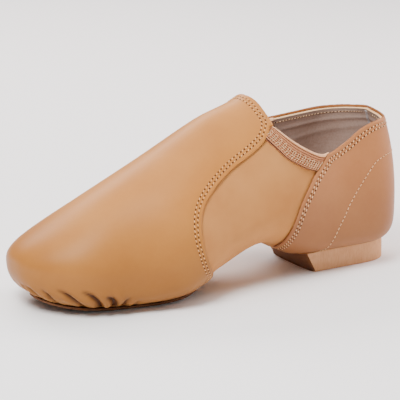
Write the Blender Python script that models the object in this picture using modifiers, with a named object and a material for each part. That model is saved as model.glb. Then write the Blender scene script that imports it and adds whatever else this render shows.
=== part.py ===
"""Slip-on jazz shoe with a split sole, left foot.

The shoe stands on its heel block and forefoot sole. +X points to the toe, +Y to the shoe's left, which is
its outer side, and +Z up. The origin is the centre of the heel block's ground face. Lengths are metres.

Every piece is cut from one form, the outside of the leather over the last. A station is a distance from the
back of the heel. Ahead of the heel axis its rib lies across the shoe, and behind it the ribs fan round the heel.
"""

import math

import bmesh
import bpy
import numpy as np
from mathutils import Vector
from mathutils.bvhtree import BVHTree

# Driving sizes
SHOE_LENGTH = 0.235
BALL_WIDTH = 0.0835
INSTEP_HEIGHT = 0.106
COLLAR_HEIGHT = 0.0841
HEEL_HEIGHT = 0.0110
SOLE_THICKNESS = 0.0014
LEATHER = 0.0010
UPPER_WALL = 0.0014
ELASTIC_THICKNESS = 0.0009
ELASTIC_HEIGHT = 0.0143
INSOLE_THICKNESS = 0.0018
GAP = 0.0003

# The last. along is a share of SHOE_LENGTH, left and right of BALL_WIDTH, low of the heel seat's height,
# wide and top of INSTEP_HEIGHT. low_bend and top_bend are the exponents of the rib's two curves.
SECTION_COLUMNS = ("along", "left", "right", "low", "wide", "top", "low_bend", "top_bend")
SECTIONS = (
    (0.120, 0.408, 0.417, 1.00, 0.330, 1.110, 4.20, 2.00),
    (0.230, 0.406, 0.407, 1.00, 0.350, 1.060, 4.20, 2.00),
    (0.320, 0.434, 0.422, 0.90, 0.422, 1.115, 2.50, 1.90),
    (0.380, 0.458, 0.437, 1.49, 0.422, 0.996, 2.00, 1.82),
    (0.520, 0.459, 0.432, 0.33, 0.348, 0.872, 1.74, 1.82),
    (0.660, 0.529, 0.470, 0.00, 0.238, 0.713, 3.03, 1.87),
    (0.800, 0.422, 0.468, 0.00, 0.184, 0.560, 3.57, 1.92),
    (0.912, 0.375, 0.424, 0.10, 0.212, 0.432, 3.32, 2.00),
    (1.000, 0.308, 0.376, 0.05, 0.225, 0.362, 2.66, 2.00),
)
HEEL_BACK = {"low": 1.00, "wide": 0.330, "top": 0.985, "low_bend": 3.8, "top_bend": 1.9}
HEEL_ROUND = 2.15
TOE_ROUND = 2.53
TOE_CAP_ALONG = 0.820
TOE_TIP_HEIGHT = 0.242
TOE_TIP_SWING = -0.078

# The topline. along is a share of SHOE_LENGTH, left and right of COLLAR_HEIGHT.
TOPLINE = (
    (0.000, 1.028, 1.028),
    (0.016, 1.020, 1.019),
    (0.060, 1.008, 0.992),
    (0.100, 1.012, 0.973),
    (0.150, 0.973, 0.965),
    (0.200, 0.899, 0.959),
    (0.257, 0.848, 0.944),
    (0.318, 0.912, 0.916),
    (0.356, 0.983, 0.985),
    (0.397, 1.090, 1.090),
)

# Seams on the side wall. Rows run from 0 under the foot to 1 at the top. along is a share of SHOE_LENGTH, up
# of the rib's length from the middle of the underside to the topline.
QUARTER_EDGE = (
    (0.00, 0.358, 0.00),
    (0.18, 0.360, 0.17),
    (0.36, 0.365, 0.36),
    (0.54, 0.354, 0.545),
    (0.76, 0.315, 0.775),
    (0.90, 0.286, 0.90),
    (1.00, 0.253, 1.00),
)
VAMP_EDGE = (
    (0.000, 0.545, 0.000),
    (0.180, 0.553, 0.180),
    (0.360, 0.580, 0.375),
    (0.540, 0.617, 0.565),
    (0.620, 0.628, 0.665),
    (0.690, 0.628, 0.752),
    (0.760, 0.610, 0.832),
    (0.820, 0.572, 0.863),
    (0.875, 0.512, 0.880),
    (0.925, 0.454, 0.896),
    (0.965, 0.417, 0.932),
    (1.000, 0.397, 1.000),
)
TAB_EDGE = ((0.0, 0.397), (0.6, 0.397), (1.0, 0.402))
TAB_CORNER_ANGLE = 40.0

# Soles
SOLE_START = 0.555
SOLE_SHARE = 0.72
SOLE_TOE_INSET = 0.009
HEEL_INSET = 0.0045
HEEL_BLOCK_END = 0.0571
HEEL_BLOCK_WIDTH = 0.0418
HEEL_BLOCK_ROUND = 0.026
HEEL_CORNER_RADIUS = 0.003
HEEL_BREAST_LEAN = 0.0115
INSOLE_INSET = 0.009
SEAT_CLEARANCE = 0.0008
FOLD_CLEARANCE = 0.0005
SOCK_CLEARANCE = 0.0011
SOLE_PRESS = 0.0004
ELASTIC_COLUMNS = 10
EDGE_CLEARANCE = 2.8 * GAP

# The elastic's depth from the quarter's edge, at 0, to the vamp's, at 1, as a share of ELASTIC_HEIGHT
ELASTIC_DEPTHS = ((0.0, 1.00), (0.35, 1.17), (0.65, 1.27), (0.85, 0.96), (1.0, 0.71))

# The rounded ends of the plates: their runs as shares of SHOE_LENGTH, and the exponents of their curves
SOLE_BACK_ROUND = 0.10
SOLE_TOE_ROUND = 0.16
SOLE_BEND = 2.2
HEEL_BLOCK_BEND = 2.3
INSOLE_BEND = 2.1

# The sock's half widths. along is a share of SHOE_LENGTH, left and right of BALL_WIDTH.
INSOLE_WIDTHS = (
    (0.00, 0.300, 0.300),
    (0.16, 0.300, 0.295),
    (0.30, 0.215, 0.205),
    (0.42, 0.225, 0.210),
    (0.55, 0.320, 0.290),
    (0.68, 0.405, 0.360),
    (0.82, 0.350, 0.375),
    (1.00, 0.250, 0.290),
)


def interpolate(rows, column, at, flat_start=False):
    """A smooth curve through one column of a table whose first column is the place."""
    table = np.array(rows, float)
    place = table[:, 0]
    value = table[:, column]
    step = np.diff(place)
    slope = np.diff(value) / step
    tangent = np.empty_like(value)
    tangent[1:-1] = (slope[:-1] * step[1:] + slope[1:] * step[:-1]) / (step[1:] + step[:-1])
    tangent[0] = 0.0 if flat_start else slope[0]
    tangent[-1] = slope[-1]
    at = np.clip(np.asarray(at, float), place[0], place[-1])
    k = np.clip(np.searchsorted(place, at, side="right") - 1, 0, len(place) - 2)
    t = (at - place[k]) / step[k]
    start = (2 * t**3 - 3 * t**2 + 1) * value[k] + (t**3 - 2 * t**2 + t) * step[k] * tangent[k]
    end = (3 * t**2 - 2 * t**3) * value[k + 1] + (t**3 - t**2) * step[k] * tangent[k + 1]
    return start + end


# Heights and places that follow from the sizes above
HEEL_AXIS = SECTIONS[0][0] * SHOE_LENGTH
FOREFOOT_LEVEL = SOLE_THICKNESS + SEAT_CLEARANCE - SOLE_PRESS
SEAT_LEVEL = HEEL_HEIGHT + SEAT_CLEARANCE
TOE_CAP_START = TOE_CAP_ALONG * SHOE_LENGTH
TAB_CORNER = math.radians(TAB_CORNER_ANGLE)
WALL_LENGTH = 0.5 * BALL_WIDTH + COLLAR_HEIGHT


def level(share):
    """Height above the floor of the form's underside, 0 at the ball and 1 at the heel seat."""
    return FOREFOOT_LEVEL + share * (SEAT_LEVEL - FOREFOOT_LEVEL)


def heel_turn(station):
    """Angle of the heel fan at a station: 0 across the shoe, a quarter turn straight back."""
    return np.clip((HEEL_AXIS - station) / HEEL_AXIS, 0, 1) * (math.pi / 2)


def rib_sizes(station, side):
    """The rib's sizes at a station: reach, underside, widest and top heights, and its two bends."""
    along = np.maximum(station, HEEL_AXIS) / SHOE_LENGTH
    column = {name: k for k, name in enumerate(SECTION_COLUMNS)}
    half = "left" if side > 0 else "right"
    reach = BALL_WIDTH * interpolate(SECTIONS, column[half], along, flat_start=True)
    size = {name: interpolate(SECTIONS, column[name], along) for name in HEEL_BACK}
    turn = heel_turn(station)
    back = np.sin(turn) ** 2
    size = {name: (1 - back) * value + back * HEEL_BACK[name] for name, value in size.items()}
    reach = ((np.cos(turn) / reach) ** HEEL_ROUND + (np.sin(turn) / HEEL_AXIS) ** HEEL_ROUND) ** (-1 / HEEL_ROUND)
    low, wide, top = level(size["low"]), INSTEP_HEIGHT * size["wide"], INSTEP_HEIGHT * size["top"]
    cap = np.clip((station - TOE_CAP_START) / (SHOE_LENGTH - TOE_CAP_START), 0, 1)
    shrink = (1 - cap**TOE_ROUND) ** (1 / TOE_ROUND)
    tip = TOE_TIP_HEIGHT * INSTEP_HEIGHT
    low, wide, top = (tip + (z - tip) * shrink for z in (low, wide, top))
    return reach * shrink, low, wide, top, size["low_bend"], size["top_bend"]


def centre_shift(station):
    """Sideways shift of the toe's middle, which gives the shoe its left or right curve."""
    cap = np.clip((station - TOE_CAP_START) / (SHOE_LENGTH - TOE_CAP_START), 0, 1)
    return TOE_TIP_SWING * BALL_WIDTH * cap**1.5


def on_form(station, side, angle):
    """Points of the form. angle runs from -90 degrees under the foot, over 0 at the widest, to 90 on top."""
    station, angle = np.broadcast_arrays(np.asarray(station, float), np.asarray(angle, float))
    reach, low, wide, top, low_bend, top_bend = rib_sizes(station, side)
    bend = np.where(angle < 0, low_bend, top_bend)
    out = reach * np.abs(np.cos(angle)) ** (2 / bend)
    rise = np.abs(np.sin(angle)) ** (2 / bend)
    height = np.where(angle < 0, wide - (wide - low) * rise, wide + (top - wide) * rise)
    turn = heel_turn(station)
    along = np.where(turn > 0, HEEL_AXIS - out * np.sin(turn), station)
    across = side * out * np.cos(turn) + centre_shift(station)
    return np.stack([along, across, height], -1)


def topline_height(station, side):
    return COLLAR_HEIGHT * interpolate(TOPLINE, 1 if side > 0 else 2, station / SHOE_LENGTH)


def corner_angle(station, side):
    """Angle at which the side wall ends: the topline along the collar, and a line down the vamp."""
    throat = TOPLINE[-1][0] * SHOE_LENGTH
    held = np.minimum(station, throat)
    reach, low, wide, top, low_bend, top_bend = rib_sizes(held, side)
    lift = np.clip((topline_height(held, side) - wide) / (top - wide), 0, 1)
    at_topline = np.arcsin(lift ** (top_bend / 2))
    blend = np.clip((station - throat) / (SHOE_LENGTH - throat), 0, 1)
    return at_topline + (TAB_CORNER - at_topline) * blend


def even_ribs(station, side, share, start, end, steps=120):
    """Points at shares of the rib's length between two angles; all arguments broadcast."""
    station, share, start, end = np.broadcast_arrays(*(np.asarray(v, float) for v in (station, share, start, end)))
    t = np.linspace(0, 1, steps)
    angle = start[..., None] + (end - start)[..., None] * t
    line = on_form(station[..., None], side, angle)
    run = np.linalg.norm(np.diff(line, axis=-2), axis=-1).cumsum(-1)
    run = np.concatenate([np.zeros(run.shape[:-1] + (1,)), run], -1)
    want = share * run[..., -1]
    k = np.clip((run <= want[..., None]).sum(-1) - 1, 0, steps - 2)
    low = np.take_along_axis(run, k[..., None], -1)[..., 0]
    high = np.take_along_axis(run, k[..., None] + 1, -1)[..., 0]
    part = (want - low) / np.maximum(high - low, 1e-12)
    a = np.take_along_axis(angle, k[..., None], -1)[..., 0]
    b = np.take_along_axis(angle, k[..., None] + 1, -1)[..., 0]
    return a + (b - a) * part


def wall_point(station, side, up):
    """A point of the side wall, up from 0 under the foot to 1 at its top, and on to 2 over the instep."""
    corner = corner_angle(station, side)
    lower = even_ribs(station, side, np.clip(up, 0, 1), -math.pi / 2, corner)
    upper = even_ribs(station, side, np.clip(up - 1, 0, 1), corner, math.pi / 2)
    return on_form(station, side, np.where(np.asarray(up) > 1, upper, lower))


def wall_normal(station, side, up):
    """Outward unit normal of the form at points of the side wall."""
    ds = 2e-5
    du = 2e-4
    behind, ahead = np.maximum(station - ds, 0), np.minimum(station + ds, SHOE_LENGTH * (1 - 1e-7))
    below, above = np.clip(up - du, 0, 2), np.clip(up + du, 0, 2)
    along = wall_point(ahead, side, up) - wall_point(behind, side, up)
    over = wall_point(station, side, above) - wall_point(station, side, below)
    normal = np.cross(over, along) * side
    size = np.linalg.norm(normal, axis=-1, keepdims=True)
    flat = np.broadcast_to(np.array([0.0, 0.0, -1.0]), normal.shape)
    normal = np.where(size > 1e-16, normal / np.maximum(size, 1e-16), flat)
    middle = (np.asarray(up) <= 0) | (np.asarray(up) >= 2)
    normal[..., 1] = np.where(middle, 0.0, normal[..., 1])
    return normal / np.linalg.norm(normal, axis=-1, keepdims=True)


# The grid that every sheet of the upper shares
COLLAR_ROWS = (0.0, 0.09, 0.18, 0.27, 0.36, 0.45, 0.54, 0.62, 0.69, 0.76, 0.82, 0.875, 0.925, 0.965, 1.0)
TAB_ROWS = (0.0, 0.17, 0.34, 0.51, 0.68, 0.84, 1.0)
QUARTER_COLUMNS = (0.0, 0.06, 0.13, 0.21, 0.30, 0.40, 0.51, 0.62, 0.73, 0.84, 0.93, 1.0)
GORE_COLUMNS = (0.0, 0.09, 0.21, 0.34, 0.47, 0.60, 0.74, 0.88, 1.0)
VAMP_COLUMNS = (0.0, 0.09, 0.21, 0.34, 0.48, 0.62, 0.76, 0.89, 1.0)
TOE_RINGS = (0.93, 0.84, 0.72, 0.58, 0.43, 0.27, 0.12, 0.0)
# The openings under the foot lie below this row of the wall, and end at these columns
MARGIN_ROW = 2
FLOOR_ROWS = 8
STEEPEST_SEAT = 0.5
SHARP_ANGLE = math.radians(40)
QUARTER_END = len(QUARTER_COLUMNS) - 1
VAMP_START = QUARTER_END + len(GORE_COLUMNS) - 1
HEEL_HOLE_COLUMN = 7
FOREFOOT_HOLE_COLUMNS = (VAMP_START + 2, VAMP_START + 10)


def wall_grid(rim_drop=0.0):
    """Station and up of every grid point of the side wall, a row of the arrays for each column of the wall."""
    row = np.array(COLLAR_ROWS)
    quarter = interpolate(QUARTER_EDGE, 1, row) * SHOE_LENGTH
    quarter_up = interpolate(QUARTER_EDGE, 2, row)
    vamp = interpolate(VAMP_EDGE, 1, row) * SHOE_LENGTH
    vamp_up = interpolate(VAMP_EDGE, 2, row)
    station = [quarter * t for t in QUARTER_COLUMNS]
    up = [row + (quarter_up - row) * t * t for t in QUARTER_COLUMNS]
    station += [quarter + (vamp - quarter) * t for t in GORE_COLUMNS[1:]]
    up += [quarter_up + (vamp_up - quarter_up) * t for t in GORE_COLUMNS[1:]]
    for t in VAMP_COLUMNS[1:]:
        ease = t * t * (3 - 2 * t)
        station.append(vamp + (TOE_CAP_START - vamp) * t)
        up.append(vamp_up + (row - vamp_up) * ease)
    for ring in TOE_RINGS:
        cap = (1 - ring**TOE_ROUND) ** (1 / TOE_ROUND)
        station.append(np.full(len(row), TOE_CAP_START + (SHOE_LENGTH - TOE_CAP_START) * cap))
        up.append(row)
    station, up = np.array(station), np.array(up)
    for column in range(QUARTER_END, VAMP_START + 1):
        up[column, -1] = up[column, -1] - rim_drop / WALL_LENGTH
    return station, up


def top_grid():
    """Station and up of the grid over the instep and toes, a row of the arrays for each column from the vamp's edge."""
    row = np.array(TAB_ROWS)
    tab = interpolate(TAB_EDGE, 1, row) * SHOE_LENGTH
    station = [tab + (TOE_CAP_START - tab) * t for t in VAMP_COLUMNS]
    for ring in TOE_RINGS:
        cap = (1 - ring**TOE_ROUND) ** (1 / TOE_ROUND)
        station.append(np.full(len(row), TOE_CAP_START + (SHOE_LENGTH - TOE_CAP_START) * cap))
    return np.array(station), np.tile(1 + row, (len(station), 1))


class Sheet:
    """An open surface gathered from patches of the grid, with coinciding points shared."""

    def __init__(self):
        self.index = {}
        self.points = []
        self.normals = []
        self.faces = []

    def vertex(self, point, normal, spread):
        key = tuple(np.round(point * 1e6).astype(int)) + (spread,)
        if key not in self.index:
            self.index[key] = len(self.points)
            self.points.append(point + np.array([0.0, spread, 0.0]))
            self.normals.append(np.zeros(3))
        number = self.index[key]
        self.normals[number] = self.normals[number] + normal
        return number

    def patch(self, station, up, side, keep, seam_gap=0.0):
        """Adds the cells of a grid for which keep(column, row) is true."""
        point = wall_point(station, side, up)
        normal = wall_normal(station, side, up)
        normal[station >= SHOE_LENGTH * (1 - 1e-6)] = (1.0, 0.0, 0.0)
        normal[..., 1] = np.where(station <= 0, 0.0, normal[..., 1])
        numbers = {}
        columns, rows = station.shape
        for c in range(columns - 1):
            for r in range(rows - 1):
                if not keep(c, r):
                    continue
                corners = []
                for i, j in ((c, r), (c + 1, r), (c + 1, r + 1), (c, r + 1)):
                    if (i, j) not in numbers:
                        spread = side * seam_gap / 2 if i == 0 else 0.0
                        numbers[i, j] = self.vertex(point[i, j], normal[i, j], spread)
                    if numbers[i, j] not in corners:
                        corners.append(numbers[i, j])
                if side > 0:
                    corners.reverse()
                self.split(corners)

    def split(self, corners):
        """Adds a cell as triangles, cut along its shorter diagonal so that stacked sheets share their facets."""
        if len(corners) == 3:
            self.faces.append(corners)
        if len(corners) == 4:
            a, b, c, d = corners
            across = np.linalg.norm(self.points[a] - self.points[c])
            other = np.linalg.norm(self.points[b] - self.points[d])
            halves = [(a, b, c), (a, c, d)] if across <= other else [(b, c, d), (b, d, a)]
            self.faces.extend(halves)

    def place(self, offset):
        """The points moved along their normals, outwards for a positive offset."""
        normal = np.array(self.normals)
        normal = normal / np.linalg.norm(normal, axis=1, keepdims=True)
        return np.array(self.points) + normal * offset


def new_object(name, points, faces, material):
    mesh = bpy.data.meshes.new(name)
    mesh.from_pydata([tuple(p) for p in points], [], faces)
    mesh.materials.append(material)
    built = bmesh.new()
    built.from_mesh(mesh)
    bmesh.ops.recalc_face_normals(built, faces=built.faces)
    if built.calc_volume(signed=True) < 0:
        bmesh.ops.reverse_faces(built, faces=built.faces)
    built.to_mesh(mesh)
    built.free()
    mesh.shade_smooth()
    mesh.set_sharp_from_angle(angle=SHARP_ANGLE)
    thing = bpy.data.objects.new(name, mesh)
    COLLECTION.objects.link(thing)
    return thing


def shell(name, sheet, offset, thickness, material):
    """A sheet of the form, its outer face at the offset, thickened inwards."""
    mesh = bpy.data.meshes.new(name)
    mesh.from_pydata([tuple(p) for p in sheet.place(offset)], [], sheet.faces)
    mesh.materials.append(material)
    mesh.shade_smooth()
    thing = bpy.data.objects.new(name, mesh)
    COLLECTION.objects.link(thing)
    thicken = thing.modifiers.new("Wall", "SOLIDIFY")
    thicken.thickness = thickness
    thicken.offset = -1
    return thing


def new_material(name, colour, roughness):
    material = bpy.data.materials.new(name)
    material.use_nodes = True
    shader = material.node_tree.nodes["Principled BSDF"]
    shader.inputs["Base Color"].default_value = colour + (1.0,)
    shader.inputs["Roughness"].default_value = roughness
    shader.inputs["Metallic"].default_value = 0.0
    return material


def make_upper(material):
    station, up = wall_grid(ELASTIC_THICKNESS + FOLD_CLEARANCE)
    top_station, top_up = top_grid()
    top_up[0, 0] = up[VAMP_START, -1]
    sheet = Sheet()

    def keep_wall(column, row):
        under_heel = column < HEEL_HOLE_COLUMN
        under_ball = FOREFOOT_HOLE_COLUMNS[0] <= column < FOREFOOT_HOLE_COLUMNS[1]
        return row >= MARGIN_ROW or not (under_heel or under_ball)

    for side in (1, -1):
        sheet.patch(station, up, side, keep_wall)
        sheet.patch(top_station, top_up, side, lambda column, row: True)
    return shell("upper", sheet, -LEATHER - GAP, UPPER_WALL, material)


def make_vamp(material):
    station, up = wall_grid()
    top_station, top_up = top_grid()
    sheet = Sheet()
    slot_end = FOREFOOT_HOLE_COLUMNS[1] - VAMP_START
    for side in (1, -1):
        sheet.patch(station[VAMP_START:], up[VAMP_START:], side, lambda c, r: r >= MARGIN_ROW or c >= slot_end)
        sheet.patch(top_station, top_up, side, lambda column, row: True)
    return shell("vamp", sheet, 0.0, LEATHER, material)


def make_quarter(name, side, material):
    station, up = wall_grid()
    sheet = Sheet()
    columns = slice(0, QUARTER_END + 1)
    sheet.patch(station[columns], up[columns], side, lambda c, r: r >= MARGIN_ROW, GAP)
    return shell(name, sheet, 0.0, LEATHER, material)


def edge_station(table, up):
    """Station of a seam where it crosses the given height of the wall."""
    row = np.linspace(0, 1, 400)
    return np.interp(up, interpolate(table, 2, row), interpolate(table, 1, row) * SHOE_LENGTH)


def make_elastic(name, side, material):
    """A folded strip over the gore's top edge, from the quarter's edge to the vamp's."""
    along = np.linspace(0, 1, ELASTIC_COLUMNS)
    depth = ELASTIC_HEIGHT * interpolate(ELASTIC_DEPTHS, 1, along) / WALL_LENGTH
    rim = ELASTIC_THICKNESS / WALL_LENGTH
    rows = ((1.0, 0), (0.67, 0), (0.33, 0), (0.0, 0), (0.0, 1), (0.33, 1), (0.67, 1), (1.0, 1))
    outside = -LEATHER - GAP + FOLD_CLEARANCE
    inside = -LEATHER - GAP - UPPER_WALL - FOLD_CLEARANCE
    outer, inner = [], []
    for share, face in rows:
        low = 1 - depth * share
        start = edge_station(QUARTER_EDGE, low[0]) + EDGE_CLEARANCE
        end = edge_station(VAMP_EDGE, low[-1]) - EDGE_CLEARANCE
        station = start + (end - start) * along
        at_rim = share == 0.0
        for layer, up in ((outer, low), (inner, low - rim if at_rim else low)):
            point = wall_point(station, side, up)
            normal = wall_normal(station, side, up)
            if layer is outer:
                offset = outside + ELASTIC_THICKNESS if face == 0 else inside - ELASTIC_THICKNESS
            else:
                offset = outside if face == 0 else inside
            layer.append(point + normal * offset)
    points = np.concatenate(outer + inner)
    count = ELASTIC_COLUMNS
    strips = len(rows)
    faces = []
    for layer in (0, 1):
        for r in range(strips - 1):
            for c in range(count - 1):
                a = layer * strips * count + r * count + c
                faces.append((a, a + 1, a + 1 + count, a + count))
    for r in (0, strips - 1):
        for c in range(count - 1):
            a, b = r * count + c, strips * count + r * count + c
            faces.append((a, a + 1, b + 1, b))
    for c in (0, count - 1):
        for r in range(strips - 1):
            a, b = r * count + c, strips * count + r * count + c
            faces.append((a, a + count, b + count, b))
    return new_object(name, points, faces, material)


def seat_surface(offset, from_below):
    """A function for the height, in plan, of the form's underside moved by an offset, plus a rise along its normal."""
    station, up = wall_grid()
    sheet = Sheet()
    for side in (1, -1):
        sheet.patch(station, up, side, lambda column, row: row < FLOOR_ROWS)
    tree = BVHTree.FromPolygons([Vector(p) for p in sheet.place(offset)], sheet.faces)
    start = -COLLAR_HEIGHT if from_below else COLLAR_HEIGHT
    direction = Vector((0, 0, 1 if from_below else -1))

    def height(px, py, rise=0.0):
        heights = []
        for x, y in zip(px, py):
            hit, normal, face, distance = tree.ray_cast(Vector((x, y, start)), direction)
            heights.append(hit.z + rise / max(abs(normal.z), STEEPEST_SEAT))
        return np.array(heights)

    return height


def plate(name, x, left, right, top, bottom, material, across=9, shear=None):
    """A plate lofted through rows across the shoe, closed to a point at each end."""
    middle = [centre_shift(v) for v in x]
    plan = [(x[0], middle[0])]
    for k in range(1, len(x) - 1):
        spread = np.sin(np.linspace(-math.pi / 2, math.pi / 2, across))
        spread = np.where(spread < 0, right[k], left[k]) * spread
        plan += [(x[k], middle[k] + y) for y in spread]
    plan.append((x[-1], middle[-1]))
    plan = np.array(plan)
    shifted = plan.copy()
    if shear is not None:
        shifted = shear(plan)
    upper = np.column_stack([shifted, top(shifted[:, 0], shifted[:, 1])])
    lower = np.column_stack([plan, bottom(plan[:, 0], plan[:, 1])])
    count = len(plan)
    rows = len(x) - 2
    faces = []
    for layer in (0, count):
        for r in range(rows - 1):
            for c in range(across - 1):
                a = layer + 1 + r * across + c
                faces.append((a, a + 1, a + 1 + across, a + across))
        for c in range(across - 1):
            faces.append((layer, layer + 1 + c, layer + 2 + c))
            last = layer + 1 + (rows - 1) * across + c
            faces.append((layer + count - 1, last, last + 1))
    rim = [0] + [1 + r * across for r in range(rows)] + [count - 1]
    rim += [1 + r * across + across - 1 for r in reversed(range(rows))]
    for a, b in zip(rim, rim[1:] + rim[:1]):
        faces.append((a, b, b + count, a + count))
    return new_object(name, np.concatenate([upper, lower]), faces, material)


def rounded_rows(start, end, count, crowding=0.5):
    """Stations closer together near both rounded ends."""
    even = np.linspace(0, 1, count)
    crowded = (1 - np.cos(math.pi * even)) / 2
    return start + (end - start) * (even + (crowded - even) * crowding)


def end_taper(x, start, end, run_start, run_end, bend):
    """Share of the full width near the rounded ends of a plate."""
    near = np.clip((start + run_start - x) / run_start, 0, 1)
    far = np.clip((x - (end - run_end)) / run_end, 0, 1)
    return (1 - near**bend) ** (1 / bend) * (1 - far**bend) ** (1 / bend)


def reach_at(x, side):
    """Half width of the form at a place along the shoe."""
    x = np.asarray(x, float)
    behind = np.clip((HEEL_AXIS - x) / HEEL_AXIS, 0, 1)
    column = SECTION_COLUMNS.index("left" if side > 0 else "right")
    along = np.maximum(x, HEEL_AXIS) / SHOE_LENGTH
    half = BALL_WIDTH * interpolate(SECTIONS, column, along, flat_start=True)
    cap = np.clip((x - TOE_CAP_START) / (SHOE_LENGTH - TOE_CAP_START), 0, 1)
    return half * (1 - behind**HEEL_ROUND) ** (1 / HEEL_ROUND) * (1 - cap**TOE_ROUND) ** (1 / TOE_ROUND)


def make_forefoot_sole(material):
    start, end = SOLE_START * SHOE_LENGTH, SHOE_LENGTH - SOLE_TOE_INSET
    x = rounded_rows(start, end, 22)
    taper = end_taper(x, start, end, SOLE_BACK_ROUND * SHOE_LENGTH, SOLE_TOE_ROUND * SHOE_LENGTH, SOLE_BEND)
    held = np.clip(x, start, TOE_CAP_START)
    left = SOLE_SHARE * reach_at(held, 1) * taper
    right = SOLE_SHARE * reach_at(held, -1) * taper
    seat = seat_surface(SEAT_CLEARANCE, from_below=True)
    return plate(
        "forefoot_sole",
        x,
        left,
        right,
        seat,
        lambda px, py: np.maximum(seat(px, py, -SOLE_THICKNESS), 0.0),
        material,
        across=15,
    )


def make_heel(material):
    start, end = HEEL_INSET, HEEL_BLOCK_END
    x = rounded_rows(start, end, 18, crowding=0.96)
    taper = end_taper(x, start, end, HEEL_BLOCK_ROUND, HEEL_CORNER_RADIUS, HEEL_BLOCK_BEND)
    half = HEEL_BLOCK_WIDTH / 2 * taper
    lean = HEEL_BREAST_LEAN / (end - start)

    def shear(plan):
        moved = plan.copy()
        moved[:, 0] = plan[:, 0] + (plan[:, 0] - start) * lean
        return moved

    return plate(
        "heel",
        x,
        half,
        half,
        seat_surface(SEAT_CLEARANCE, from_below=True),
        lambda px, py: np.zeros(len(px)),
        material,
        across=13,
        shear=shear,
    )


def make_insole(material):
    start, end = INSOLE_INSET, SHOE_LENGTH - INSOLE_INSET
    x = rounded_rows(start, end, 28)
    taper = end_taper(x, start, end, HEEL_AXIS, SHOE_LENGTH - TOE_CAP_START, INSOLE_BEND)
    left = BALL_WIDTH * interpolate(INSOLE_WIDTHS, 1, x / SHOE_LENGTH) * taper
    right = BALL_WIDTH * interpolate(INSOLE_WIDTHS, 2, x / SHOE_LENGTH) * taper
    floor = seat_surface(-LEATHER - GAP - UPPER_WALL - SOCK_CLEARANCE, from_below=False)
    return plate(
        "insole",
        x,
        left,
        right,
        lambda px, py: floor(px, py, INSOLE_THICKNESS),
        floor,
        material,
        across=9,
    )


for old in list(bpy.data.objects):
    bpy.data.objects.remove(old, do_unlink=True)
COLLECTION = bpy.data.collections.new("jazz_shoe")
bpy.context.scene.collection.children.link(COLLECTION)

SMOOTH_LEATHER = new_material("tan_leather", (0.60, 0.36, 0.19), 0.42)
STRETCH_CLOTH = new_material("tan_stretch_cloth", (0.58, 0.35, 0.18), 0.80)
ELASTIC_WEB = new_material("tan_elastic", (0.60, 0.37, 0.22), 0.85)
SUEDE = new_material("tan_suede", (0.50, 0.31, 0.18), 0.92)
HEEL_STACK = new_material("tan_heel", (0.58, 0.35, 0.21), 0.75)
SOCK = new_material("taupe_sock", (0.33, 0.26, 0.21), 0.90)

PIECES = (
    make_upper(STRETCH_CLOTH),
    make_vamp(SMOOTH_LEATHER),
    make_quarter("quarter_left", 1, SMOOTH_LEATHER),
    make_quarter("quarter_right", -1, SMOOTH_LEATHER),
    make_elastic("elastic_left", 1, ELASTIC_WEB),
    make_elastic("elastic_right", -1, ELASTIC_WEB),
    make_forefoot_sole(SUEDE),
    make_heel(HEEL_STACK),
    make_insole(SOCK),
)

# The back of the heel lies behind the origin, which is the middle of the heel block's ground face
SHOE = bpy.data.objects.new("shoe", None)
SHOE.location = (-(HEEL_INSET + HEEL_BLOCK_END) / 2, 0.0, 0.0)
COLLECTION.objects.link(SHOE)
for piece in PIECES:
    piece.parent = SHOE
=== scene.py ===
"""Jazz shoe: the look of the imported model, for Blender 4.5. Lengths are metres, in the model's frame."""

import math

import bpy
import numpy as np
from mathutils import Matrix, Vector
from mathutils.bvhtree import BVHTree


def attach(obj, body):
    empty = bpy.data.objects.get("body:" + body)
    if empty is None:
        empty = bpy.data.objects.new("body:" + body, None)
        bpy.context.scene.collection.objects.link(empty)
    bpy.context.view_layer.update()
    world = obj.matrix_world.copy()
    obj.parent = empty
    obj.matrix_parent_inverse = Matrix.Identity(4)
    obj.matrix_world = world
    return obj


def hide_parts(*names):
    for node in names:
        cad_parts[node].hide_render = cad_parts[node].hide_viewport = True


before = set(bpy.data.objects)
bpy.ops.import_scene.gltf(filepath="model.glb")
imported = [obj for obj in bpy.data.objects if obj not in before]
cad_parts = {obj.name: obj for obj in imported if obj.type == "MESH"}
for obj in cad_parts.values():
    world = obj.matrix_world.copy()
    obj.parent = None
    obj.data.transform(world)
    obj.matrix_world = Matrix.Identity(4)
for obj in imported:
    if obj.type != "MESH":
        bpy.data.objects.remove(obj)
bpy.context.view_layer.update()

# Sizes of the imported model, as its source gives them
SHOE_LENGTH = 0.235
BALL_WIDTH = 0.0835
INSTEP_HEIGHT = 0.106
COLLAR_HEIGHT = 0.0841
HEEL_HEIGHT = 0.0110
SOLE_THICKNESS = 0.0014
LEATHER = 0.0010
UPPER_WALL = 0.0014
ELASTIC_THICKNESS = 0.0009
ELASTIC_HEIGHT = 0.0143
ELASTIC_DEPTHS = ((0.0, 1.00), (0.25, 1.16), (0.50, 1.28), (0.66, 1.42), (0.80, 1.30), (1.0, 0.76))
GAP = 0.0003
SEAT_CLEARANCE = 0.0008
FOLD_CLEARANCE = 0.0005
SOLE_PRESS = 0.0004
BACK_X = -0.0308

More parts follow.
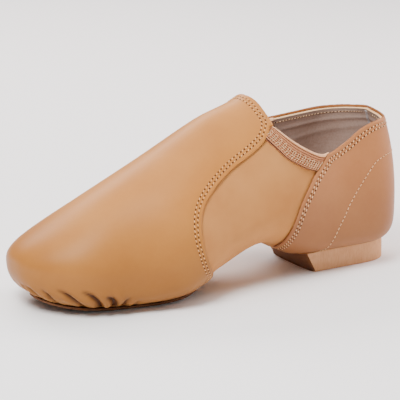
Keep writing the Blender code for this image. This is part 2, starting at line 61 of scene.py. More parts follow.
# The last. along is a share of SHOE_LENGTH, left and right of BALL_WIDTH, low of the heel seat's height,
# wide and top of INSTEP_HEIGHT. low_bend and top_bend are the exponents of the rib's two curves.
SECTION_COLUMNS = ("along", "left", "right", "low", "wide", "top", "low_bend", "top_bend")
SECTIONS = (
    (0.120, 0.408, 0.417, 1.00, 0.330, 1.110, 4.20, 2.00),
    (0.230, 0.406, 0.407, 1.00, 0.350, 1.060, 4.20, 2.00),
    (0.320, 0.434, 0.422, 0.90, 0.422, 1.115, 2.50, 1.90),
    (0.380, 0.458, 0.437, 1.49, 0.422, 0.996, 2.00, 1.82),
    (0.520, 0.459, 0.432, 0.33, 0.348, 0.872, 1.74, 1.82),
    (0.660, 0.529, 0.470, 0.00, 0.238, 0.713, 3.03, 1.87),
    (0.800, 0.422, 0.468, 0.00, 0.184, 0.560, 3.57, 1.92),
    (0.912, 0.375, 0.424, 0.10, 0.212, 0.432, 3.32, 2.00),
    (1.000, 0.308, 0.376, 0.05, 0.225, 0.362, 2.66, 2.00),
)
HEEL_BACK = {"low": 1.00, "wide": 0.330, "top": 0.985, "low_bend": 3.8, "top_bend": 1.9}
HEEL_ROUND = 2.15
TOE_ROUND = 2.53
TOE_CAP_ALONG = 0.820
TOE_TIP_HEIGHT = 0.242
TOE_TIP_SWING = -0.078

# The topline. along is a share of SHOE_LENGTH, left and right of COLLAR_HEIGHT.
TOPLINE = (
    (0.0, 1.028, 1.028), (0.016, 1.02, 1.019), (0.06, 1.008, 0.992), (0.1, 1.012, 0.973),
    (0.15, 0.973, 0.965), (0.2, 0.899, 0.959), (0.257, 0.848, 0.944), (0.318, 0.912, 0.916),
    (0.356, 0.983, 0.985), (0.397, 1.09, 1.09),
)

# Seams on the side wall. Rows run from 0 under the foot to 1 at the top. along is a share of SHOE_LENGTH, up
# of the rib's length from the middle of the underside to the topline.
QUARTER_EDGE = (
    (0.0, 0.358, 0.0), (0.18, 0.36, 0.17), (0.36, 0.365, 0.36), (0.54, 0.354, 0.545),
    (0.76, 0.315, 0.775), (0.9, 0.286, 0.9), (1.0, 0.253, 1.0),
)
VAMP_EDGE = (
    (0.0, 0.545, 0.0), (0.18, 0.553, 0.18), (0.36, 0.58, 0.375), (0.54, 0.617, 0.565),
    (0.62, 0.628, 0.665), (0.69, 0.628, 0.752), (0.76, 0.61, 0.832), (0.82, 0.572, 0.863),
    (0.875, 0.512, 0.88), (0.925, 0.454, 0.896), (0.965, 0.41, 0.93), (1.0, 0.388, 1.0),
)
TAB_EDGE = ((0.0, 0.388), (0.3, 0.394), (0.6, 0.397), (1.0, 0.402))
TAB_CORNER_ANGLE = 40.0

SOLE_START = 0.555
SOLE_SHARE = 0.66
SOLE_TOE_INSET = 0.0105
HEEL_INSET = 0.0045
HEEL_BLOCK_END = 0.0612
HEEL_BLOCK_WIDTH = 0.0418
HEEL_BLOCK_ROUND = 0.022
HEEL_CORNER_RADIUS = 0.003
HEEL_BREAST_LEAN = 0.0062

SIDE_NAMES = {1: "left", -1: "right"}


def unit(vectors):
    """The vectors at a length of one."""
    return vectors / np.maximum(np.linalg.norm(vectors, axis=-1, keepdims=True), 1e-12)


def progress(value, start, end):
    """How far a value has gone from start to end, held between 0 and 1."""
    return np.clip((value - start) / (end - start), 0, 1)


def smooth(t):
    return t * t * (3 - 2 * t)


def bell(value, width):
    return np.exp(-((value / width) ** 2))


def rounded(share, bend):
    """Width that is left on the way to a rounded end, 1 at share 0 and 0 at share 1."""
    return (1 - share**bend) ** (1 / bend)


def interpolate(rows, column, at, flat_start=False):
    """A smooth curve through one column of a table whose first column is the place."""
    table = np.array(rows, float)
    place = table[:, 0]
    value = table[:, column]
    step = np.diff(place)
    slope = np.diff(value) / step
    tangent = np.empty_like(value)
    tangent[1:-1] = (slope[:-1] * step[1:] + slope[1:] * step[:-1]) / (step[1:] + step[:-1])
    tangent[0] = 0.0 if flat_start else slope[0]
    tangent[-1] = slope[-1]
    at = np.clip(np.asarray(at, float), place[0], place[-1])
    k = np.clip(np.searchsorted(place, at, side="right") - 1, 0, len(place) - 2)
    t = (at - place[k]) / step[k]
    start = (2 * t**3 - 3 * t**2 + 1) * value[k] + (t**3 - 2 * t**2 + t) * step[k] * tangent[k]
    end = (3 * t**2 - 2 * t**3) * value[k + 1] + (t**3 - t**2) * step[k] * tangent[k + 1]
    return start + end


# Heights and places that follow from the sizes
HEEL_AXIS = SECTIONS[0][0] * SHOE_LENGTH
FOREFOOT_LEVEL = SOLE_THICKNESS + SEAT_CLEARANCE - SOLE_PRESS
SEAT_LEVEL = HEEL_HEIGHT + SEAT_CLEARANCE
TOE_CAP_START = TOE_CAP_ALONG * SHOE_LENGTH
TAB_CORNER = math.radians(TAB_CORNER_ANGLE)
WALL_LENGTH = 0.5 * BALL_WIDTH + COLLAR_HEIGHT


def heel_turn(station):
    """Angle of the heel fan at a station: 0 across the shoe, a quarter turn straight back."""
    return progress(station, HEEL_AXIS, 0) * (math.pi / 2)


def rib_sizes(station, side):
    """The rib's sizes at a station: reach, underside, widest and top heights, and its two bends."""
    along = np.maximum(station, HEEL_AXIS) / SHOE_LENGTH
    column = {name: k for k, name in enumerate(SECTION_COLUMNS)}
    half = "left" if side > 0 else "right"
    reach = BALL_WIDTH * interpolate(SECTIONS, column[half], along, flat_start=True)
    size = {name: interpolate(SECTIONS, column[name], along) for name in HEEL_BACK}
    turn = heel_turn(station)
    back = np.sin(turn) ** 2
    size = {name: (1 - back) * value + back * HEEL_BACK[name] for name, value in size.items()}
    round_heel = (np.cos(turn) / reach) ** HEEL_ROUND + (np.sin(turn) / HEEL_AXIS) ** HEEL_ROUND
    reach = round_heel ** (-1 / HEEL_ROUND)
    low = FOREFOOT_LEVEL + size["low"] * (SEAT_LEVEL - FOREFOOT_LEVEL)
    wide, top = INSTEP_HEIGHT * size["wide"], INSTEP_HEIGHT * size["top"]
    shrink = rounded(progress(station, TOE_CAP_START, SHOE_LENGTH), TOE_ROUND)
    tip = TOE_TIP_HEIGHT * INSTEP_HEIGHT
    low, wide, top = (tip + (z - tip) * shrink for z in (low, wide, top))
    return reach * shrink, low, wide, top, size["low_bend"], size["top_bend"]


def centre_shift(station):
    """Sideways shift of the toe's middle, which gives the shoe its left or right curve."""
    return TOE_TIP_SWING * BALL_WIDTH * progress(station, TOE_CAP_START, SHOE_LENGTH) ** 1.5


def on_form(station, side, angle):
    """Points of the form. angle runs from -90 degrees under the foot, over 0 at the widest, to 90 on top."""
    station, angle = np.broadcast_arrays(np.asarray(station, float), np.asarray(angle, float))
    reach, low, wide, top, low_bend, top_bend = rib_sizes(station, side)
    bend = np.where(angle < 0, low_bend, top_bend)
    out = reach * np.abs(np.cos(angle)) ** (2 / bend)
    rise = np.abs(np.sin(angle)) ** (2 / bend)
    height = np.where(angle < 0, wide - (wide - low) * rise, wide + (top - wide) * rise)
    turn = heel_turn(station)
    along = np.where(turn > 0, HEEL_AXIS - out * np.sin(turn), station)
    across = side * out * np.cos(turn) + centre_shift(station)
    return np.stack([along, across, height], -1)


def corner_angle(station, side):
    """Angle at which the side wall ends: the topline along the collar, and a line down the vamp."""
    throat = TOPLINE[-1][0] * SHOE_LENGTH
    held = np.minimum(station, throat)
    _, _, wide, top, _, top_bend = rib_sizes(held, side)
    topline = COLLAR_HEIGHT * interpolate(TOPLINE, 1 if side > 0 else 2, held / SHOE_LENGTH)
    at_topline = np.arcsin(progress(topline, wide, top) ** (top_bend / 2))
    return at_topline + (TAB_CORNER - at_topline) * progress(station, throat, SHOE_LENGTH)


STATION_STEPS = np.unique(np.concatenate([
    np.linspace(0, SHOE_LENGTH, 560),
    SHOE_LENGTH - np.geomspace(1e-7, 0.01, 60),
    [HEEL_AXIS, TOPLINE[-1][0] * SHOE_LENGTH, TOE_CAP_START],
]))
UP_STEPS = np.linspace(0, 2, 401)


def angle_table(side):
    """Angle of the rib at each step of station and of up, where up is an even share of the rib's length."""
    corners = corner_angle(STATION_STEPS, side)
    table = np.zeros((len(STATION_STEPS), len(UP_STEPS)))
    half = len(UP_STEPS) // 2
    quarter_turn = np.full_like(corners, math.pi / 2)
    for first, start, finish in ((0, -quarter_turn, corners), (half, corners, quarter_turn)):
        angle = start[:, None] + (finish - start)[:, None] * np.linspace(0, 1, 140)
        line = on_form(np.minimum(STATION_STEPS, SHOE_LENGTH - 1e-7)[:, None], side, angle)
        run = np.linalg.norm(np.diff(line, axis=1), axis=-1).cumsum(-1)
        run = np.concatenate([np.zeros((len(run), 1)), run], -1)
        for k in range(len(run)):
            even = np.linspace(0, 1, half + 1) * run[k, -1]
            table[k, first:first + half + 1] = np.interp(even, run[k], angle[k])
    return table


ANGLES = {side: angle_table(side) for side in (1, -1)}


def rib_angle(station, side, up):
    """Angle of the rib at places of the wall, read from the side's table."""
    station, up = np.broadcast_arrays(np.asarray(station, float), np.clip(np.asarray(up, float), 0, 2))
    table = ANGLES[side]
    k = np.clip(np.searchsorted(STATION_STEPS, station, side="right") - 1, 0, len(STATION_STEPS) - 2)
    part = progress(station, STATION_STEPS[k], STATION_STEPS[k + 1])
    place = up / UP_STEPS[1]
    j = np.clip(place.astype(int), 0, len(UP_STEPS) - 2)
    rest = place - j
    low = table[k, j] + (table[k, j + 1] - table[k, j]) * rest
    high = table[k + 1, j] + (table[k + 1, j + 1] - table[k + 1, j]) * rest
    return low + (high - low) * part


def wall_point(station, side, up):
    """A point of the side wall, up from 0 under the foot to 1 at its top, and on to 2 over the instep."""
    return on_form(station, side, rib_angle(station, side, up))


def wall_normal(station, side, up):
    """Outward unit normal of the form at points of the side wall."""
    station, up = np.broadcast_arrays(np.asarray(station, float), np.asarray(up, float))
    angle = rib_angle(station, side, up)
    ds, da, tip = 2e-5, 3e-4, SHOE_LENGTH * (1 - 1e-7)
    behind, ahead = np.maximum(station - ds, 0), np.minimum(station + ds, tip)
    below, above = np.maximum(angle - da, -math.pi / 2), np.minimum(angle + da, math.pi / 2)
    held = np.minimum(station, tip)
    along = on_form(ahead, side, angle) - on_form(behind, side, angle)
    over = on_form(held, side, above) - on_form(held, side, below)
    normal = np.cross(over, along) * side
    size = np.linalg.norm(normal, axis=-1, keepdims=True)
    flat = np.broadcast_to(np.array([0.0, 0.0, -1.0]), normal.shape)
    normal = np.where(size > 1e-18, normal / np.maximum(size, 1e-18), flat)
    middle = (up <= 0) | (up >= 2)
    normal[..., 1] = np.where(middle, 0.0, normal[..., 1])
    return unit(normal)


# The grid of the wall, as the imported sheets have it
COLLAR_ROWS = (0.0, 0.09, 0.18, 0.27, 0.36, 0.45, 0.54, 0.62, 0.69, 0.76, 0.82, 0.875, 0.925, 0.965, 1.0)
TAB_ROWS = (0.0, 0.17, 0.34, 0.51, 0.68, 0.84, 1.0)
QUARTER_COLUMNS = (0.0, 0.06, 0.13, 0.21, 0.30, 0.40, 0.51, 0.62, 0.73, 0.84, 0.93, 1.0)
GORE_COLUMNS = (0.0, 0.09, 0.21, 0.34, 0.47, 0.60, 0.74, 0.88, 1.0)
VAMP_COLUMNS = (0.0, 0.09, 0.21, 0.34, 0.48, 0.62, 0.76, 0.89, 1.0)
TOE_RINGS = (0.93, 0.84, 0.72, 0.58, 0.43, 0.27, 0.12, 0.0)
MARGIN_UP = 0.18
HEEL_HOLE_SHARE = 0.62


def refine(values, parts):
    """The values with each step between them split into equal parts."""
    values = np.asarray(values, float)
    t = np.arange(parts) / parts
    fine = (values[:-1, None] + np.diff(values)[:, None] * t).ravel()
    return np.append(fine, values[-1])


def merged(*lists):
    return np.unique(np.round(np.concatenate([np.asarray(v, float) for v in lists]), 6))


def seam(table, rows):
    return interpolate(table, 1, rows) * SHOE_LENGTH, interpolate(table, 2, rows)


def ring_station(ring):
    return TOE_CAP_START + (SHOE_LENGTH - TOE_CAP_START) * rounded(ring, TOE_ROUND)


def quarter_grid(t, rows):
    edge, edge_up = seam(QUARTER_EDGE, rows)
    t = t[:, None]
    return edge * t, rows + (edge_up - rows) * t * t


def gore_grid(t, rows):
    start, start_up = seam(QUARTER_EDGE, rows)
    end, end_up = seam(VAMP_EDGE, rows)
    t = t[:, None]
    return start + (end - start) * t, start_up + (end_up - start_up) * t


def vamp_grid(t, rings, rows):
    edge, edge_up = seam(VAMP_EDGE, rows)
    t = t[:, None]
    station = edge + (TOE_CAP_START - edge) * t
    up = edge_up + (rows - edge_up) * smooth(t)
    cap = np.repeat(ring_station(rings)[:, None], len(rows), 1)
    return np.concatenate([station, cap]), np.concatenate([up, np.tile(rows, (len(rings), 1))])


def tab_grid(t, rings, rows):
    edge = interpolate(TAB_EDGE, 1, rows) * SHOE_LENGTH
    station = edge + (TOE_CAP_START - edge) * t[:, None]
    cap = np.repeat(ring_station(rings)[:, None], len(rows), 1)
    return np.concatenate([station, cap]), np.tile(1 + rows, (len(t) + len(rings), 1))


class Sheet:
    """A fine open surface over the form, gathered from grids whose common points are shared."""

    def __init__(self):
        self.total, self.grids, self.quads = 0, [], []

    def add(self, station, up, side, keep=True):
        """One grid of a side; keep marks the points whose cell, on to the next ones, is wanted."""
        normal = wall_normal(station, side, up)
        normal[station >= SHOE_LENGTH * (1 - 1e-6)] = (1.0, 0.0, 0.0)
        normal[..., 1] = np.where(station <= 0, 0.0, normal[..., 1])
        point = wall_point(station, side, up).reshape(-1, 3)
        self.grids.append((point, normal.reshape(-1, 3), station.ravel(), up.ravel()))
        number = np.arange(self.total, self.total + station.size).reshape(station.shape)
        self.total += station.size
        cell = np.stack([number[:-1, :-1], number[1:, :-1], number[1:, 1:], number[:-1, 1:]], -1)
        wanted = np.broadcast_to(keep, station.shape)[:-1, :-1]
        self.quads.append(cell[wanted][:, ::-1 if side > 0 else 1])

    def gather(self):
        points, normals, station, up = (np.concatenate(values) for values in zip(*self.grids))
        quads = np.concatenate(self.quads)
        used = np.unique(quads)
        key = np.round(points[used] * 4e6).astype(np.int64)
        _, first, back = np.unique(key, axis=0, return_index=True, return_inverse=True)
        back = back.ravel()
        summed = np.zeros((len(first), 3))
        np.add.at(summed, back, normals[used])
        self.normals = unit(summed)
        self.points, self.station, self.up = (values[used][first] for values in (points, station, up))
        lookup = np.full(self.total, -1)
        lookup[used] = back
        faces = [list(dict.fromkeys(face)) for face in lookup[quads].tolist()]
        self.faces = [face for face in faces if len(face) > 2]


def boundary_edges(faces):
    """Directed edges that only one face uses."""
    edges = dict.fromkeys((a, b) for face in faces for a, b in zip(face, face[1:] + face[:1]))
    return [(a, b) for a, b in edges if (b, a) not in edges]


def new_mesh(name, points, faces, materials, face_material=None, uv=None):
    """A visible piece from points of the form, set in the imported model's frame."""
    mesh = bpy.data.meshes.new(name)
    mesh.from_pydata((np.asarray(points) + (BACK_X, 0.0, 0.0)).tolist(), [], faces)
    for material in materials:
        mesh.materials.append(material)
    if face_material is not None:
        mesh.polygons.foreach_set("material_index", np.asarray(face_material, np.int32))
    if uv is not None:
        layer = mesh.uv_layers.new(name="UVMap")
        corner = np.zeros(len(mesh.loops), np.int32)
        mesh.loops.foreach_get("vertex_index", corner)
        layer.data.foreach_set("uv", np.asarray(uv, np.float32)[corner].ravel())
    mesh.shade_smooth()
    thing = bpy.data.objects.new(name, mesh)
    bpy.context.scene.collection.objects.link(thing)
    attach(thing, "root")
    return thing


def thick_sheet(name, sheet, outer, inner, materials, uv=None):
    """A thin closed solid between two offsets of a sheet. Materials: outside, inside and rim."""
    count = len(sheet.points)
    points = np.concatenate([sheet.points + sheet.normals * offset[:, None] for offset in (outer, inner)])
    inside = [[v + count for v in reversed(face)] for face in sheet.faces]
    rim = [[b, a, a + count, b + count] for a, b in boundary_edges(sheet.faces)]
    last = len(materials) - 1
    kinds = [0] * len(sheet.faces) + [min(1, last)] * len(inside) + [min(2, last)] * len(rim)
    both = None if uv is None else np.concatenate([uv, uv])
    return new_mesh(name, points, sheet.faces + inside + rim, materials, kinds, both)


def distance_to(points, path, reach=0.02):
    """Distance of each point to a path of close points, cut off at a reach."""
    blocks = np.array_split(points, len(points) // 4000 + 1)
    nearest = [np.linalg.norm(block[:, None] - path, axis=-1).min(1) for block in blocks]
    return np.minimum(np.concatenate(nearest), reach)


def run_along(path):
    return np.concatenate([[0], np.linalg.norm(np.diff(path, axis=0), axis=1).cumsum()])


def resample(path, pitch):
    """Points at an even pitch along a path."""
    run = run_along(path)
    want = np.linspace(0, run[-1], max(2, int(round(run[-1] / pitch)) + 1))
    return np.stack([np.interp(want, run, path[:, k]) for k in range(3)], -1)


def wall_line(places, side, count):
    """Points of the wall through places, which are shares of SHOE_LENGTH and of the wall."""
    station, up = np.array(places).T
    k = np.arange(len(station))
    t = np.linspace(0, k[-1], count)
    return wall_point(np.interp(t, k, station) * SHOE_LENGTH, side, np.interp(t, k, up))


def quarter_edge_path(side):
    """The quarter's free edge: up its front and back along the topline."""
    station, up = seam(QUARTER_EDGE, np.linspace(MARGIN_UP, 1, 260))
    back = np.linspace(1, 0, 220)[1:] * station[-1]
    return np.concatenate([wall_point(station, side, up), wall_point(back, side, np.ones(len(back)))])


def vamp_edge_path():
    """The vamp's free edge: up one side, over the tab and down the other."""
    station, up = seam(VAMP_EDGE, np.linspace(MARGIN_UP, 1, 320))
    over = np.linspace(0, 1, 120)[1:]
    tab = interpolate(TAB_EDGE, 1, over) * SHOE_LENGTH
    left, right = (np.concatenate([wall_point(station, side, up), wall_point(tab, side, 1 + over)])
                   for side in (1, -1))
    return np.concatenate([left, right[::-1][1:]])


# Leather near its free edge. Each row of stitches has its distance from the edge and its shift in pitches.
EDGE_ROUND = 0.0009
MARGIN_PUFF = 0.00025
PUFF_FADE = 0.0012
STITCH_ROWS = {0.0026: 0.0, 0.0045: 0.5}
GROOVE_DEPTH = 0.00022
GROOVE_WIDTH = 0.0006
NOTCH_DEPTH = 0.0016
NOTCH_WIDTH = 0.0035


def edge_profile(distance):
    """Outer and inner offsets of leather near its edge: rounded rim, puffed fold, grooves under stitches."""
    t = progress(distance, 0, EDGE_ROUND)
    half = np.sqrt(np.clip(1 - (1 - t) ** 2, 0, 1))
    outer = MARGIN_PUFF * t * progress(distance, max(STITCH_ROWS) + PUFF_FADE, max(STITCH_ROWS))
    for row in STITCH_ROWS:
        outer = outer - GROOVE_DEPTH * bell(distance - row, GROOVE_WIDTH)
    middle = -LEATHER / 2
    return middle + (outer - middle) * half, middle + (-LEATHER - middle) * half


EDGE_STEPS = np.array([0.0, 0.0014, 0.0035, 0.007, 0.012, 0.018, 0.025, 0.033, 0.042, 0.052, 0.064, 0.077])
RIM_STEPS = 1 - np.array([0.0, 0.0010, 0.0025, 0.005, 0.009, 0.014, 0.020, 0.027])
BACK_STEPS = (0.002, 0.005, 0.01)
TOE_STEPS = np.linspace(0, 0.9, 60)[1:]
FINE_ROWS = merged(refine(COLLAR_ROWS, 6), RIM_STEPS)
TOE_ROWS = merged(refine(COLLAR_ROWS, 4), RIM_STEPS, refine(COLLAR_ROWS[1:7], 15))
ABOVE_MARGIN = MARGIN_UP - 1e-6

# Pleats where the vamp is gathered under the toes: the side, the fold's half width and depth, and places
# down it, as shares of SHOE_LENGTH and of the wall. The camera sees those of side 1.
PLEATS = (
    (1, 0.0012, 0.0011, ((0.993, 0.20), (0.9878, 0.115), (0.9769, 0.091), (0.955, 0.06))),
    (1, 0.0013, 0.0013, ((0.9905, 0.31), (0.989, 0.277), (0.9758, 0.301), (0.9677, 0.239), (0.945, 0.18))),
    (1, 0.0014, 0.0016, ((0.976, 0.51), (0.9703, 0.482), (0.9485, 0.363), (0.9275, 0.267), (0.905, 0.22))),
    (1, 0.0014, 0.0017, ((0.954, 0.59), (0.9493, 0.573), (0.9339, 0.535), (0.91, 0.449), (0.8975, 0.40),
                         (0.88, 0.31))),
    (1, 0.0015, 0.0019, ((0.911, 0.60), (0.9059, 0.587), (0.889, 0.549), (0.8689, 0.473), (0.8609, 0.42),
                         (0.848, 0.34))),
    (1, 0.0017, 0.0021, ((0.859, 0.545), (0.8551, 0.525), (0.8409, 0.496), (0.8314, 0.449), (0.826, 0.36))),
    (1, 0.0017, 0.0016, ((0.798, 0.50), (0.8012, 0.477), (0.8085, 0.453), (0.806, 0.40), (0.803, 0.34))),
    (1, 0.0015, 0.0006, ((0.77, 0.47), (0.774, 0.44), (0.778, 0.40), (0.776, 0.34))),
    (-1, 0.0013, 0.0013, ((0.99, 0.35), (0.98, 0.31), (0.966, 0.25), (0.94, 0.19))),
    (-1, 0.0014, 0.0016, ((0.976, 0.50), (0.964, 0.44), (0.944, 0.36), (0.915, 0.25))),
    (-1, 0.0014, 0.0017, ((0.948, 0.56), (0.932, 0.50), (0.91, 0.42), (0.885, 0.30))),
    (-1, 0.0015, 0.0018, ((0.906, 0.57), (0.89, 0.52), (0.87, 0.45), (0.852, 0.34))),
    (-1, 0.0016, 0.0018, ((0.856, 0.53), (0.844, 0.48), (0.833, 0.43), (0.826, 0.34))),
    (-1, 0.0016, 0.0012, ((0.801, 0.49), (0.799, 0.45), (0.802, 0.40), (0.80, 0.34))),
)
PLEAT_REACH = 0.03
PLEAT_END_FADE = 0.0015
# Fold depth at which the painted shade in its trough is full
FULL_FOLD_SHADE_DEPTH = 0.0016


def pleat_offsets(sheet):
    """How far the folds move each point, a trough between soft ridges, and how much painted shade darkens
    it.
    """
    offset, shade = np.zeros((2, len(sheet.points)))
    for side, width, depth, places in PLEATS:
        line = resample(wall_line(places, side, 60), 0.0005)
        padded = np.pad(line, ((4, 4), (0, 0)), mode="edge")
        line = sum(padded[k:k + len(line)] for k in range(9)) / 9
        tangent = unit(np.gradient(line, axis=0))
        near = np.linalg.norm(sheet.points - line.mean(0), axis=1) < PLEAT_REACH
        points, normals = sheet.points[near], sheet.normals[near]
        nearest = np.linalg.norm(points[:, None] - line, axis=-1).argmin(1)
        away = points - line[nearest]
        across = (np.cross(normals, tangent[nearest]) * away).sum(-1)
        end_fade = bell((tangent[nearest] * away).sum(-1), PLEAT_END_FADE)
        down = nearest / (len(line) - 1)
        trough = bell(across, width)
        ridge = bell(np.abs(across) - 2.3 * width, 1.5 * width)
        low = progress(down, 0.6, 1)
        form = (0.36 - 0.30 * low) * ridge - (1.20 - 0.35 * low) * trough
        offset[near] += smooth(progress(down, 0, 0.45)) * end_fade * depth * form
        # Painted shade along each trough, stronger down towards the sole and with the fold's depth
        dark = bell(across, (0.45 + 0.55 * down) * width) + 0.25 * trough
        dark = progress(down, 0, 0.35) * end_fade * dark * depth / FULL_FOLD_SHADE_DEPTH
        shade[near] = np.maximum(shade[near], dark)
    return offset, np.clip(shade, 0, 1)


def build_vamp(materials):
    columns = merged(EDGE_STEPS, refine(VAMP_COLUMNS[1:], 5))
    rings = merged(refine(TOE_RINGS, 4), rounded(TOE_STEPS, TOE_ROUND))[::-1]
    hole_end = ring_station(np.array([TOE_RINGS[1]]))[0]
    sheet = Sheet()
    for side in (1, -1):
        station, up = vamp_grid(columns, rings, TOE_ROWS)
        sheet.add(station, up, side, (TOE_ROWS >= ABOVE_MARGIN) | (station > hole_end))
        sheet.add(*tab_grid(columns, rings, refine(TAB_ROWS, 6)), side)
    sheet.gather()
    outer, inner = edge_profile(distance_to(sheet.points, vamp_edge_path()))
    folds, shade = pleat_offsets(sheet)
    # The first UV coordinate carries the painted fold shade to the leather's colour
    uv = np.stack([shade, np.zeros(len(shade))], -1)
    piece = thick_sheet("vamp_leather", sheet, outer + folds, inner + folds, materials, uv)
    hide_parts("vamp")
    return Skin(sheet, outer + folds)


def build_quarter(side, materials):
    columns = merged(refine(QUARTER_COLUMNS, 6), 1 - EDGE_STEPS, BACK_STEPS)
    rows = FINE_ROWS[FINE_ROWS >= ABOVE_MARGIN]
    station, up = quarter_grid(columns, rows)
    notch = NOTCH_DEPTH / WALL_LENGTH * progress(station, NOTCH_WIDTH, 0) ** 2
    sheet = Sheet()
    sheet.add(station, up - notch * progress(rows, 0.8, 1), side)
    sheet.gather()
    outer, inner = edge_profile(distance_to(sheet.points, quarter_edge_path(side)))
    sheet.points[sheet.station < 1e-6, 1] += side * GAP / 2
    name = SIDE_NAMES[side]
    piece = thick_sheet("quarter_leather_" + name, sheet, outer, inner, materials)
    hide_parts("quarter_" + name)
    return Skin(sheet, outer)


# How far the lining's edge lies under the topline, and how far the sleeve draws in under the toes, so that
# it clears the vamp's deep folds
LINING_DROP = 0.0016
TOE_TUCK = 0.0018


def lining_folds(sheet):
    """Soft level ridges in the lining under the collar."""
    below = (1 - sheet.up) * WALL_LENGTH
    station = sheet.station / SHOE_LENGTH
    first = bell(below - 0.0095 - 0.012 * station, 0.0016)
    second = bell(below - 0.0155 - 0.040 * station, 0.0022)
    return progress(station, 0.25, 0.17) * (0.0004 * first + 0.0003 * second)


def build_upper(materials):
    """Stretch cloth outside, lining inside, with the lining's pale edge along the quarters."""
    quarter_columns = merged(refine(QUARTER_COLUMNS, 4), [0.98, 0.99])
    vamp_columns = merged([0.0, 0.01, 0.03], refine(VAMP_COLUMNS[1:], 3))
    rings = refine((1.0,) + TOE_RINGS, 3)[1:]
    rows = FINE_ROWS
    rim = progress(rows, 0.9, 1)
    drop = (ELASTIC_THICKNESS + FOLD_CLEARANCE) / WALL_LENGTH
    sheet = Sheet()
    for side in (1, -1):
        station, up = quarter_grid(quarter_columns, rows)
        share = quarter_columns[:, None]
        blend = progress(share, 0.97, 1)
        lowered = LINING_DROP / WALL_LENGTH * (1 - blend) + drop * blend
        sheet.add(station, up - lowered * rim, side, (rows >= ABOVE_MARGIN) | (share >= HEEL_HOLE_SHARE))
        station, up = gore_grid(refine(GORE_COLUMNS, 6), rows)
        sheet.add(station, up - drop * rim, side)
        station, up = vamp_grid(vamp_columns, rings, rows)
        number = np.arange(len(station))[:, None]
        fade = progress(number, 3, 0)
        closed = (number <= 8) | (number >= len(vamp_columns) + 3)
        sheet.add(station, up - drop * fade * rim, side, (rows >= ABOVE_MARGIN) | closed)
        station, up = tab_grid(vamp_columns, rings, refine(TAB_ROWS, 3))
        up[:3, 0] -= drop * fade[:3, 0]
        sheet.add(station, up, side)
    sheet.gather()
    tuck = progress(sheet.station / SHOE_LENGTH, 0.72, 0.76) * progress(sheet.up, 0.68, 0.62)
    outer = -LEATHER - GAP - TOE_TUCK * tuck
    inner = outer - UPPER_WALL - lining_folds(sheet)
    uv = np.stack([sheet.station, sheet.up * WALL_LENGTH], -1)
    piece = thick_sheet("sleeve_and_lining", sheet, outer, inner, materials, uv)
    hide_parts("upper")


def linear(colour):
    """A colour as seen, in 0 to 255, as the shader takes it."""
    return tuple(v / 3294.6 if v <= 10.3 else ((v / 255 + 0.055) / 1.055) ** 2.4 for v in colour) + (1.0,)


class Shade:
    """A material whose nodes are added in order. A value is a number, a colour or another node's output."""

    def __init__(self, name, roughness, specular, coat=0.0, sheen=0.0):
        self.material = bpy.data.materials.new(name)
        self.material.use_nodes = True
        self.tree = self.material.node_tree
        self.tree.nodes.clear()
        self.shader = self.node("BsdfPrincipled", {
            "Roughness": roughness, "Specular IOR Level": specular, "Coat Weight": coat,
            "Coat Roughness": 0.35, "Sheen Weight": sheen, "Sheen Roughness": 0.5})
        self.node("OutputMaterial", {"Surface": self.shader.outputs["BSDF"]})
        self.place = self.node("TexCoord").outputs

    def feed(self, node, entry, value):
        if isinstance(value, bpy.types.NodeSocket):
            self.tree.links.new(value, node.inputs[entry])
        else:
            node.inputs[entry].default_value = value

    def node(self, kind, inputs=None, **settings):
        node = self.tree.nodes.new("ShaderNode" + kind)
        for key, value in settings.items():
            setattr(node, key, value)
        for entry, value in (inputs or {}).items():
            self.feed(node, entry, value)
        return node

    def noise(self, scale, detail, stretch=None):
        place = self.place["Object"]
        if stretch:
            place = self.node("Mapping", {"Vector": place, "Scale": stretch}).outputs["Vector"]
        return self.node("TexNoise", {"Vector": place, "Scale": scale, "Detail": detail}).outputs["Fac"]

    def wave(self, direction, scale, distortion, detail_scale):
        values = {"Vector": self.place["UV"], "Scale": scale, "Distortion": distortion,
                  "Detail Scale": detail_scale}
        return self.node("TexWave", values, bands_direction=direction).outputs["Fac"]

    def ramp(self, source, *stops):
        ramp = self.node("ValToRGB", {"Fac": source})
        elements = ramp.color_ramp.elements
        while len(elements) < len(stops):
            elements.new(0.5)
        for element, (place, colour) in zip(elements, stops):
            element.position = place
            element.color = colour
        return ramp.outputs["Color"]

    def mix(self, share, first, second, blend="MIX"):
        values = {0: share, 6: first, 7: second}
        return self.node("Mix", values, data_type="RGBA", blend_type=blend).outputs[2]

    def tones(self, colours, broad, fine, share, stops=(0.3, 0.5, 0.75), fine_stops=(0.3, 0.7)):
        """A base, pale and dark colour over a broad pattern, with a share of a fine one."""
        base, pale, dark = (linear(colour) for colour in colours)
        tone = self.ramp(broad, *zip(stops, (dark, base, pale)))
        return self.mix(share, tone, self.ramp(fine, *zip(fine_stops, (dark, pale))))

    def span(self, source, *limits):
        """A value moved from one range to another, given as from low, from high, to low, to high."""
        values = dict(zip(("From Min", "From Max", "To Min", "To Max"), limits), Value=source)
        return self.node("MapRange", values).outputs["Result"]

    def finish(self, colour, *layers):
        """Base colour, and bump layers from fine to coarse: a source, a height in metres and a strength."""
        self.feed(self.shader, "Base Color", colour)
        for number, (source, height, strength) in enumerate(layers):
            values = {"Height": source, "Distance": height, "Strength": strength}
            if number:
                values["Normal"] = bump.outputs["Normal"]
            bump = self.node("Bump", values)
        if layers:
            self.feed(self.shader, "Normal", bump.outputs["Normal"])
        return self.material


